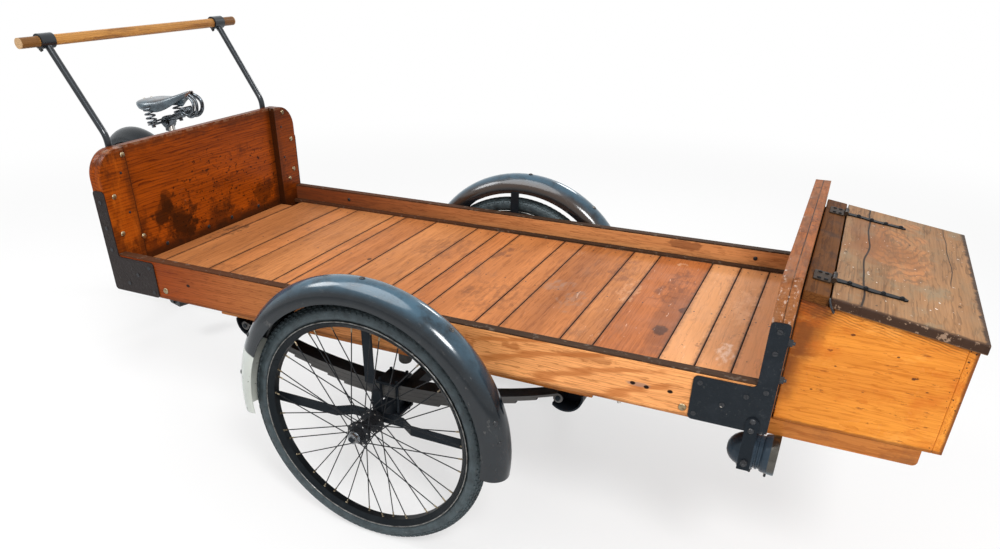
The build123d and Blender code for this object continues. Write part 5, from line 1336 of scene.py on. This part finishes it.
def make_nipples(wheel, hub, axle, body, flange_at):
    """A nipple on the rim and a round head in the flange, for every spoke of a wheel."""
    where = seat(hub, axle, -BACK if wheel == "rear" else (1, 0, 0))
    nipples, heads = Bench(), Bench()
    for side in (-1, 1):
        for lead in (-1, 1):
            for index in range(0, SPOKES_A_SIDE, 2):
                root, tip = spoke_line(side, lead, index, flange_at)
                along = (where.to_3x3() @ (tip - root)).normalized()
                nipples.turned(NIPPLE, seat(where @ tip, along), 8)
                out = where.to_3x3() @ Vector((0, 0, side * lead))
                heads.turned(dome(0.0021, 0.0012), seat(where @ root + out * 0.0016, out), 10)
    nipples.made(wheel + "_spoke_nipples", body, "bright_steel", nipple_brass, 40)
    heads.made(wheel + "_spoke_heads", body, "bright_steel", steel, 40)


FLANGES = (0.031, 0.031, 0.030)
for wheel_place, flange_at in zip(WHEELS, FLANGES):
    make_nipples(*wheel_place, flange_at)

# %% Rolled edges of the rims
RIM_BED = TYRE_RADIUS - 0.0403
EDGE_ROLL, EDGE_OUT = 0.0019, 0.0186
for wheel, hub, axle, body in WHEELS:
    bench = Bench()
    for side in (-1, 1):
        turns = [math.pi * k / 4 for k in range(8)]
        roll = [(RIM_BED - 0.0006 + EDGE_ROLL * math.cos(turn), side * EDGE_OUT + EDGE_ROLL * math.sin(turn))
                for turn in turns]
        bench.ring(roll, seat(hub, axle), 144)
    bench.made(wheel + "_rim_edges", body, "bright_steel", rim_edge, 60)

# %% Bands of the hubs
GREASE_BAND = [(0.0149, -0.006), (0.0172, -0.006), (0.0178, 0.0), (0.0172, 0.006), (0.0149, 0.006)]
BAND_LOW, BAND_HIGH, BAND_WIDE = 0.019, 0.0213, 0.002
for wheel, hub, axle, body in WHEELS:
    where = seat(hub, axle)
    bench = Bench()
    bench.ring(GREASE_BAND, where, 32)
    for side in (-1, 1):
        for start in (0.0355, 0.0405):
            near, far = side * start, side * (start + BAND_WIDE)
            bench.ring([(BAND_LOW, near), (BAND_HIGH, near), (BAND_HIGH, far), (BAND_LOW, far)], where, 32)
    bench.made(wheel + "_hub_bands", body, "bright_steel", dark_steel, 40)

# %% Washers on the front axle
HUB_FACE = 0.0508
bench = Bench()
for hub, out in ((right_hub, -1), (left_hub, 1)):
    for depth, radius, thick in ((0.0, 0.0165, 0.0022), (0.0022, 0.0148, 0.0018)):
        face = hub + Vector((0, out * (HUB_FACE + depth), 0))
        bench.turned(disc(radius, 0, thick), seat(face, (0, out, 0)), 32)
bench.made("front_axle_washers", "platform", "bright_steel", nut_steel, 40)

# %% Nuts of the front hubs
NUT_FACE = HUB_FACE + 0.0040
bench = Bench()
for hub, out in ((right_hub, -1), (left_hub, 1)):
    where = seat(hub + Vector((0, out * NUT_FACE, 0)), (0, out, 0))
    for low, high, radius in ((0.0, 0.0072, 0.0152), (0.0072, 0.0084, 0.0140)):
        bench.slab(six_sided(radius), high - low, where @ Matrix.Translation((0, 0, low)))
    bench.turned([(0.0081, 0.006), (0.0081, 0.0112), (0.0074, 0.0118), (0.0, 0.0118)], where, 24)
bench.made("front_hub_nuts", "platform", "bright_steel", nut_steel, 40)

# %% [markdown]
# ## Fixings on the boards
# Coach bolts with domed heads hold the boards, nails hold the floor, and slotted screws
# hold the iron plates. They are small, but they are what tells the eye how the body was
# put together, so each sits where it holds something: a bolt through a cleat, two nails
# through each slat over each bearer.


# %% Heads on the rear board and its cleats
def heads(name, spots, out, radius, height, finish, slot):
    """Domed heads at places on the boards, all facing one way."""
    bench = Bench()
    for spot in spots:
        bench.turned(dome(radius, height), seat(at(*spot), out), 18)
    bench.made(name, "platform", slot, finish, 50)


CLEAT_X = -0.823
FORWARDS, LEFTWARDS, RIGHTWARDS = (1, 0, 0), (0, 1, 0), (0, -1, 0)
CLEAT_BOLTS = ((-0.327, 0.879), (-0.384, 0.780), (-0.384, 0.678), (-0.316, 0.652),
               (0.360, 0.880), (0.390, 0.788), (0.387, 0.687), (0.360, 0.660))
CLEAT_SCREWS = ((-0.345, 0.835), (-0.345, 0.728), (0.345, 0.835), (0.345, 0.735))
PANEL_BOLTS = ((-0.043, 0.598), (0.065, 0.598), (0.200, 0.600), (-0.22, 0.598))
heads("cleat_bolt_heads", [(CLEAT_X, y, z) for y, z in CLEAT_BOLTS], FORWARDS, 0.0075, 0.0032,
      brass, "bright_steel")
heads("cleat_screw_heads", [(CLEAT_X, y, z) for y, z in CLEAT_SCREWS], FORWARDS, 0.0036, 0.0012,
      dark_steel, "dark_steel")
heads("rear_board_bolt_heads", [(PANEL_X, y, z) for y, z in PANEL_BOLTS], FORWARDS, 0.0058, 0.0024,
      dark_steel, "dark_steel")

# %% Heads on the side boards
SIDE_BOLTS = ((0.740, 0.543), (-0.673, 0.547))
for word, face, out in (("near", SIDE_FACE, RIGHTWARDS), ("far", -SIDE_FACE, LEFTWARDS)):
    heads(word + "_side_bolt_heads", [(x, face, z) for x, z in SIDE_BOLTS], out, 0.0085, 0.0036,
          brass, "bright_steel")
heads("inner_side_bolt_heads", [(x, 0.389, 0.603) for x in (0.764, -0.60)], RIGHTWARDS, 0.006, 0.0026,
      dark_steel, "dark_steel")

# %% Slotted screws in the iron plates
PLATE_FACE = -0.416
SCREW_RADIUS, SLOT_HALF = 0.0052, 0.00045
PLATE_SCREWS = ((0.767, 0.608), (0.816, 0.569), (0.764, 0.536), (0.858, 0.598), (0.892, 0.700),
                (0.892, 0.745), (0.892, 0.615), (-0.764, 0.579), (-0.804, 0.549), (-0.715, 0.536),
                (-0.715, 0.606), (-0.843, 0.640), (-0.843, 0.700), (-0.843, 0.770))


def screws(name, spots, out):
    """Countersunk heads, each with its slot at its own angle."""
    order = random.Random(7)
    bench = Bench()
    for spot in spots:
        where = seat(at(*spot), out) @ Matrix.Rotation(order.uniform(0, math.pi), 4, "Z")
        for sign in (-1, 1):
            half = []
            for turn in [math.pi * k / 8 for k in range(9)][::sign]:
                rise = SLOT_HALF + (SCREW_RADIUS - SLOT_HALF) * math.sin(turn)
                half.append((SCREW_RADIUS * math.cos(turn), sign * rise))
            bench.slab(half, 0.0012, where)
    bench.made(name, "platform", "dark_steel", iron_worn, 50)


for sign, word in ((1, "near"), (-1, "far")):
    screws(word + "_plate_screws", [(x, sign * PLATE_FACE, z) for x, z in PLATE_SCREWS], (0, -sign, 0))

# %% Nails in the floor
NAIL = [(0.0021, 0.0), (0.0021, 0.00035), (0.0016, 0.0005)]
NAIL_ROWS = (-0.34, 0.0, 0.34)
bench = Bench()
order = random.Random(11)
slat_edge = slat_low[0] - START.x
scale = (slat_high[0] - slat_low[0]) / sum(SLAT_WIDTHS)
for width in SLAT_WIDTHS:
    wide = width * scale
    for y in NAIL_ROWS:
        for share in (0.27, 0.73):
            x = slat_edge + wide * (share + order.uniform(-0.07, 0.07))
            spot = at(x, y + order.uniform(-0.012, 0.012), FLOOR_TOP - 0.0001)
            bench.turned(NAIL, seat(spot, (0, 0, 1)), 10)
    slat_edge += wide
bench.made("floor_nail_heads", "platform", "dark_steel", dark_steel, 50)

# %% [markdown]
# ## Hinges, staple and felt of the chest
# A smith drew each hinge strap out by hand: it tapers, its edges waver and it never runs
# quite straight. The engineering model has a flat bar there, so a new mesh takes its
# place, made from an outline whose half width and middle line follow slow sines. The
# straps and their bolts ride on the lid, and the leaves' bolts stay with the chest. A
# strip of tarred felt closes the narrow gap between the chest and the front board.

# %% Places on the sloping lid
LID_BACK, LID_BACK_TOP = 0.913, 0.804
LID_FALL, LID_LONG = 0.048, 0.311
LID_SLOPE = math.atan2(LID_FALL, LID_LONG)
LID_OUT = Vector((math.sin(LID_SLOPE), 0, math.cos(LID_SLOPE)))


def on_lid(x, y, lift=0.0):
    """A place on the lid's top, lifted off it squarely."""
    return at(x, y, LID_BACK_TOP - (x - LID_BACK) * LID_FALL / LID_LONG) + LID_OUT * lift


print("lid slopes", round(math.degrees(LID_SLOPE), 1), "degrees")

# %% Forged straps
HINGES = (-0.240, 0.240)
STRAP_TOP = 0.003
STRAP_FROM, STRAP_LONG, STRAP_HALF = 0.968, 0.131, 0.0082
HINGE_LINE, KNUCKLE_R, KNUCKLE_LONG = 0.962, 0.0048, 0.016


def sway(along):
    """How far a hand-forged strap wanders from its line."""
    return 0.0016 * math.sin(along * 70)


def strap_half(along, hinge_y):
    """Half the strap's width: it tapers, wavers and ends round."""
    half = STRAP_HALF * (1 - 1.6 * along) + 0.0007 * math.sin(along * 190 + hinge_y * 20)
    return min(half, math.sqrt(max(0.0, (STRAP_LONG - along) * 0.02)) + 0.0015)


bench = Bench()
for hinge_y in HINGES:
    run = [STRAP_LONG * k / 24 for k in range(25)]
    outline = [(x, sway(x) - strap_half(x, hinge_y)) for x in run]
    outline += [(x, sway(x) + strap_half(x, hinge_y)) for x in reversed(run)]
    where = seat(on_lid(STRAP_FROM, hinge_y), LID_OUT, (1, 0, 0))
    bench.slab(outline, STRAP_TOP, where)
    half = KNUCKLE_LONG / 2
    bench.slab([(-0.006, -half), (0.004, -half), (0.004, half), (-0.006, half)], STRAP_TOP, where)
    pin = seat(on_lid(HINGE_LINE, hinge_y) + Vector((0, -half, KNUCKLE_R + 0.001)), (0, 1, 0))
    bench.turned(disc(KNUCKLE_R, 0.0, KNUCKLE_LONG), pin, 20)
bench.made("forged_lid_straps", "chest_cover", "black_iron", hinge_iron, 40, ["lid_straps"])

# %% Bolts of the straps and of the leaves
bench = Bench()
for y in HINGES:
    for x in (0.990, 1.020, 1.052, 1.086):
        bench.turned(dome(0.0050, 0.0034), seat(on_lid(x, y + sway(x - STRAP_FROM), STRAP_TOP), LID_OUT), 16)
bench.made("strap_bolt_heads", "chest_cover", "dark_steel", hinge_iron, 50)
bench = Bench()
for y in HINGES:
    for aside in (-0.017, 0.017):
        for x in (0.934, 0.947):
            bench.turned(dome(0.0042, 0.0022), seat(on_lid(x, y + aside, STRAP_TOP), LID_OUT), 14)
bench.made("leaf_bolt_heads", "platform", "dark_steel", hinge_iron, 50)

# %% Staple on the chest, and bolts between the plate and the chest
bench = Bench()
IN_CHEST = CHEST_SIDE - 0.0002
staple = ((0.962, IN_CHEST, 0.792), (0.962, -0.342, 0.792), (0.965, -0.345, 0.785),
          (0.970, -0.345, 0.776), (0.973, -0.342, 0.770), (0.973, IN_CHEST, 0.770))
bench.wire(smooth_line([at(*spot) for spot in staple], 6), 0.0021, 8)
bench.made("chest_staple", "platform", "dark_steel", iron_worn, 60)
bolt_end = [(0, 0.007), (0.0034, 0.007), (0.0034, 0.0115), (0.0026, 0.0125), (0, 0.0125)]
bench = Bench()
for z in (0.642, 0.721):
    where = seat(at(0.9098, -0.402, z), FORWARDS)
    bench.turned(disc(0.0095, 0, 0.0015), where, 24)
    bench.slab(hexagon(0.013), 0.0065, where @ Matrix.Translation((0, 0, 0.0015)))
    bench.turned(bolt_end, where, 14)
bench.made("plate_bolt_nuts", "platform", "dark_steel", iron_worn, 40)

# %% Tarred felt between the chest and the front board
FELT_HALF, FELT_FOOT, FELT_TOP, FELT_THICK = 0.329, 0.530, 0.785, 0.0024
FRONT_BOARD_FACE = 0.9103
tall = FELT_TOP - FELT_FOOT
bench = Bench()
felt = [(-FELT_HALF, 0.0), (FELT_HALF, 0.0), (FELT_HALF, tall), (-FELT_HALF, tall)]
bench.slab(felt, FELT_THICK, seat(at(FRONT_BOARD_FACE, 0, FELT_FOOT), FORWARDS, (0, 1, 0)))
bench.made("chest_felt", "platform", "edge_strip", strips, 40)

# %% [markdown]
# ## The lamp
# The lamp is a spun bowl with stepped rings behind a flared rim, so it is one turned profile. A strap with a
# rounded end hangs it from the corner plate by two bolts, a nut holds it at its pivot, and three small screws
# stick out below.

# %% Bowl, rings and rim
LAMP_Y, LAMP_Z, LAMP_RADIUS = -0.365, 0.450, 0.043
STRAP_X, STRAP_FACE = 0.880, -0.4203
lamp_low, lamp_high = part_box("headlamp_shell")
lamp_long = lamp_high[0] - lamp_low[0]
# the share of the lamp's radius, and how far ahead of the bowl's back
BOWL = ((0.0, 0.0), (0.22, 0.0008), (0.42, 0.0045), (0.60, 0.0105), (0.74, 0.019), (0.84, 0.029),
        (0.895, 0.040), (0.905, 0.052), (0.90, 0.058))
RINGS = ((0.83, 0.0595), (0.83, 0.0625), (0.88, 0.0635), (0.88, 0.0665), (0.835, 0.068), (0.835, 0.0715),
         (0.91, 0.073), (0.945, 0.076), (0.965, 0.082), (0.985, 0.090))
# the rim is counted back from the front of the lamp
RIM = ((1.0, 0.004), (1.0, 0.001), (0.975, 0.0), (0.90, 0.002), (0.86, 0.006), (0.855, 0.010))
INSIDE = ((0.80, 0.080), (0.80, 0.062), (0.76, 0.034), (0.5, 0.012), (0.0, 0.006))
spread = BOWL + RINGS + tuple((share, lamp_long - back) for share, back in RIM) + INSIDE
bench = Bench()
lamp_back = Vector((lamp_low[0], START.y + LAMP_Y, LAMP_Z))
bench.turned([(LAMP_RADIUS * share, ahead) for share, ahead in spread], seat(lamp_back, FORWARDS), 56)
boss = seat(at(STRAP_X, LAMP_Y - LAMP_RADIUS * 0.89, LAMP_Z), RIGHTWARDS)
bench.turned([(0.006, 0.0), (0.006, 0.0045)], boss, 16)
bench.made("lamp_bowl", "platform", "dark_steel", lamp_paint, 40, ["headlamp_shell"])

# %% Bolts of the lamp's strap
bench = Bench()
for z in (0.549, 0.527):
    bench.turned(dome(0.0062, 0.0036), seat(at(STRAP_X, STRAP_FACE, z), RIGHTWARDS), 18)
pivot = seat(at(STRAP_X, STRAP_FACE, LAMP_Z), RIGHTWARDS)
bench.slab(hexagon(0.013), 0.006, pivot)
bench.turned([(0.0036, 0.006), (0.0036, 0.0105), (0.0028, 0.0115)], pivot, 12)
bench.made("lamp_strap_bolts", "platform", "dark_steel", iron_worn, 40)

# %% Screws below the lamp
DOWNWARDS = (0, 0, -1)
bench = Bench()
for x, z, long in ((0.892, 0.4105, 0.014), (0.924, 0.4095, 0.016), (0.868, 0.414, 0.010)):
    shank = [(0.0028, -0.004), (0.0028, long), (0.0020, long + 0.0012)]
    bench.turned(shank, seat(at(x, LAMP_Y, z), DOWNWARDS), 12)
    bench.slab(hexagon(0.0085), 0.004, seat(at(x, LAMP_Y, z - 0.003), DOWNWARDS))
bench.made("lamp_screws", "platform", "dark_steel", iron_worn, 40)

# %% [markdown]
# ## Bolts of the mudguards and the push bar
# Each mudguard is bolted to its stays by domed heads along its crown and its inner side,
# so they are placed by an angle round the mudguard's centre and a lean out of its plane.
# The push bar is pinched in two collars, and its arms are clipped to the rear board.

# %% Mudguard bolts
GUARD_SIDE = 0.497
GUARD_RING, GUARD_SKIN = 0.331, 0.0448
SIDE_LEAN = math.radians(38)
bench = Bench()
for sign in (-1, 1):
    guard_centre = at(GUARD_AHEAD, sign * GUARD_SIDE, GUARD_RISE)
    for degrees in (88.0, 52.0):
        turn = math.radians(degrees)
        out = Vector((math.cos(turn), 0, math.sin(turn)))
        foot = guard_centre + out * (GUARD_RING + GUARD_SKIN)
        bench.turned(dome(0.0068, 0.0028), seat(foot, out), 16)
    for degrees in (17.0, 9.0, 150.0, 169.0):
        turn = math.radians(degrees)
        out = Vector((math.cos(turn), 0, math.sin(turn)))
        push = out * math.cos(SIDE_LEAN) + Vector((0, sign * math.sin(SIDE_LEAN), 0))
        foot = guard_centre + out * GUARD_RING + push * GUARD_SKIN
        bench.turned(dome(0.0056, 0.0024), seat(foot, push), 16)
bench.made("mudguard_bolt_heads", "platform", "dark_steel", iron_worn, 50)

# %% Push bar: pinch bolts of the collars and bolts of the clips
ARM_SIDES = (-0.322, 0.322)
BAR_X, BAR_Z, BAR_RADIUS = -1.016, 1.148, 0.0180
CLIP_X = -0.8683
under = Vector((-0.35, 0, -0.94)).normalized()
bench = Bench()
for y in ARM_SIDES:
    for aside in (-0.012, 0.012):
        where = seat(at(BAR_X, y + aside, BAR_Z) + under * BAR_RADIUS, under)
        bench.slab(hexagon(0.0095), 0.0055, where)
        bench.turned([(0.0026, 0.005), (0.0026, 0.0085)], where, 10)
bench.made("collar_pinch_bolts", "platform", "dark_steel", iron_worn, 40)
bench = Bench()
for y in ARM_SIDES:
    for height in (0.640, 0.860):
        for aside in (-0.045, 0.045):
            bench.turned(dome(0.0065, 0.003), seat(at(CLIP_X, y + aside, height), (-1, 0, 0)), 16)
bench.made("arm_clip_bolts", "platform", "dark_steel", iron_worn, 50)

# %% Small ends that hang below the boards
bench = Bench()
side_bolt_end = [(0.0042, -0.012), (0.0042, 0.0), (0.0032, 0.0015), (0.0, 0.0015)]
bench.turned(side_bolt_end, seat(at(0.605, -0.398, 0.512), DOWNWARDS), 14)
chest_knob = [(0.0085, 0.0), (0.0085, 0.0018), (0.0060, 0.003), (0.0042, 0.0065), (0.0, 0.0075)]
for y in (-0.309, 0.309):
    bench.turned(chest_knob, seat(at(1.108, y, 0.4785), DOWNWARDS), 18)
for y in (-0.340, 0.340):
    bench.slab(hexagon(0.017), 0.009, seat(at(-0.70, y, 0.5145), DOWNWARDS))
bench.made("hanging_bolt_ends", "platform", "bright_steel", nickel, 40)

# %% [markdown]
# ## The chain
# A roller chain is pairs of figure-of-eight plates joined by rollers, running round a
# ring of teeth and a small sprocket. The line that it follows is two arcs and two
# straights, so each link is placed by its distance along that line, and the outer and
# the inner plates alternate.

# %% The line of the chain
AXLE_TO_CRANK = 0.470
CRANK_AXLE = REAR_AXLE - AXLE_TO_CRANK
CRANK_HEIGHT = 0.290
CLIMB = TYRE_RADIUS - CRANK_HEIGHT
RING, SPROCKET = 0.089, 0.038
CHAIN_LEFT = -0.050
LINK_PITCH = 0.0127
reach = math.hypot(AXLE_TO_CRANK, CLIMB)
rise = math.atan2(CLIMB, AXLE_TO_CRANK)
lean = math.acos((RING - SPROCKET) / reach)
straight = math.sqrt(reach ** 2 - (RING - SPROCKET) ** 2)
round_ring = RING * (2 * math.pi - 2 * lean)
round_sprocket = SPROCKET * 2 * lean
whole = round_ring + round_sprocket + 2 * straight
LINKS = 2 * round(whole / LINK_PITCH / 2)


def chain_spot(share, turn):
    """A place on a circle between the ring and the sprocket, as (behind, up)."""
    radius = RING + (SPROCKET - RING) * share
    return (CRANK_AXLE + AXLE_TO_CRANK * share + radius * math.cos(turn),
            CRANK_HEIGHT + CLIMB * share + radius * math.sin(turn))


def along_chain(distance):
    """A place on the chain's line: round the ring, back below, round the sprocket, forward above."""
    distance %= whole
    if distance < round_ring:
        return chain_spot(0, rise + lean + distance / RING)
    distance -= round_ring
    if distance < straight:
        return chain_spot(distance / straight, rise - lean)
    distance -= straight
    if distance < round_sprocket:
        return chain_spot(1, rise - lean + distance / SPROCKET)
    return chain_spot(1 - (distance - round_sprocket) / straight, rise + lean)


print(LINKS, "links over", round(whole, 3), "m")

# %% Links
PLATE_END, PLATE_WAIST, PLATE_THICK = 0.0042, 0.0029, 0.0009
INNER_GAP, OUTER_GAP = 0.0026, 0.0036
bench = Bench()
pitch = whole / LINKS
for link in range(LINKS):
    behind, up = along_chain(link * pitch)
    behind_next, up_next = along_chain((link + 1) * pitch)
    run = BACK * (behind_next - behind) + Vector((0, 0, up_next - up))
    outline = arc(PLATE_END, -math.pi / 2, math.pi, 4, (run.length, 0.0)) + [(run.length / 2, PLATE_WAIST)]
    outline += arc(PLATE_END, math.pi / 2, math.pi, 4) + [(run.length / 2, -PLATE_WAIST)]
    gap = OUTER_GAP if link % 2 else INNER_GAP
    for inner in (-gap - PLATE_THICK, gap):
        where = seat(rear_place(behind, CHAIN_LEFT + inner, up), ACROSS, run)
        bench.slab(outline, PLATE_THICK, where)
    axle = seat(rear_place(behind, CHAIN_LEFT, up), ACROSS)
    bench.turned([(0.0039, -0.0028), (0.0039, 0.0028)], axle, 10)
    bench.turned([(0.0019, -0.0047), (0.0019, 0.0047)], axle, 8)
bench.made("roller_chain", "rear_frame", "dark_steel", dark_steel, 40, ["chain"])

# %% Teeth
TOOTH_THICK = 0.0022
# how far out from the pitch circle, and how wide as a share of half the pitch
TOOTH = ((-0.0085, 0.86), (-0.004, 0.62), (-0.0006, 0.36), (0.0022, 0.14))


def teeth(name, behind, up, radius, count, body, start):
    """A ring of teeth that stand between the links' plates."""
    bench = Bench()
    wide = math.pi * radius / count
    outline = [(radius + out, -wide * share) for out, share in TOOTH]
    outline += [(radius + out, wide * share) for out, share in reversed(TOOTH)]
    foot = rear_place(behind, CHAIN_LEFT - TOOTH_THICK / 2, up)
    for k in range(count):
        turn = start + 2 * math.pi * (k + 0.5) / count
        out = BACK * math.cos(turn) + Vector((0, 0, math.sin(turn)))
        bench.slab(outline, TOOTH_THICK, seat(foot, ACROSS, out))
    bench.made(name, body, "dark_steel", dark_steel, 40)


teeth("chain_ring_teeth", CRANK_AXLE, CRANK_HEIGHT, RING, 44, "cranks", rise + lean)
teeth("sprocket_teeth", REAR_AXLE, TYRE_RADIUS, SPROCKET, 19, "rear_wheel", rise - lean)

# %% [markdown]
# ## Pedals
# Each pedal is two end plates, two rubber bars and a barrel round the pin. The bars are
# grooved across, which is what grips a shoe, so each of them is a row of short blocks on
# a thinner core. A pedal keeps level with the plain one, whose middle it is built round.

# %% Sizes of a pedal
HALF_LONG, HALF_WIDE, HALF_HIGH = 0.0475, 0.040, 0.013
END_PLATE, CORNER = 0.0025, 0.006
BAR_OUT = 0.026
BLOCKS_A_BAR, BLOCK_STEP, BLOCK_LONG = 11, 0.00813, 0.0062


def eight_sided(middle_x, half_wide, half_high, cut_x, cut_y):
    """A rectangle with its four corners cut off."""
    low, high = middle_x - half_wide, middle_x + half_wide
    return [(low, -half_high + cut_y), (low + cut_x, -half_high), (high - cut_x, -half_high),
            (high, -half_high + cut_y), (high, half_high - cut_y), (high - cut_x, half_high),
            (low + cut_x, half_high), (low, half_high - cut_y)]


print("pedal", 2 * HALF_LONG, "m long with", 2 * BLOCKS_A_BAR, "blocks")


# %% Pedals in rubber and steel
def make_pedal(node, body):
    """Two grooved rubber bars between two end plates, round the middle of the plain pedal."""
    centre = middle(node)
    steel_parts, rubber_parts = Bench(), Bench()
    plate = eight_sided(0.0, HALF_WIDE, HALF_HIGH, CORNER, HALF_HIGH - CORNER)
    for start in (-HALF_LONG, HALF_LONG - END_PLATE):
        steel_parts.slab(plate, END_PLATE, seat(centre + ACROSS * start, ACROSS, BACK))
    steel_parts.turned([(0.0095, -HALF_LONG + 0.003), (0.0095, HALF_LONG - 0.003)], seat(centre, ACROSS), 20)
    for row in (-BAR_OUT, BAR_OUT):
        block = eight_sided(row, 0.0125, 0.0125, 0.003, 0.004)
        for k in range(BLOCKS_A_BAR):
            start = -HALF_LONG + 0.0028 + k * BLOCK_STEP
            rubber_parts.slab(block, BLOCK_LONG, seat(centre + ACROSS * start, ACROSS, BACK))
        low, high = row - 0.0105, row + 0.0105
        core = [(low, -0.0095), (high, -0.0095), (high, 0.0095), (low, 0.0095)]
        core_end = centre - ACROSS * (HALF_LONG - 0.003)
        rubber_parts.slab(core, 2 * HALF_LONG - 0.006, seat(core_end, ACROSS, BACK))
    rubber_parts.made(node + "_blocks", body, "rubber", black_rubber, 40, [node])
    steel_parts.made(node + "_plates", body, "dark_steel", dark_steel, 40)


make_pedal("right_pedal", "pedal_right")
make_pedal("left_pedal", "pedal_left")

# %% [markdown]
# ## The dressed tricycle's size
# The box round the dressed tricycle is printed at the end, so that a fitting that sticks out further than the
# real thing shows in its sizes.

# %% Sizes, and the end
low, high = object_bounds()
print("dressed box", [round(v, 3) for v in (*low, *high)])
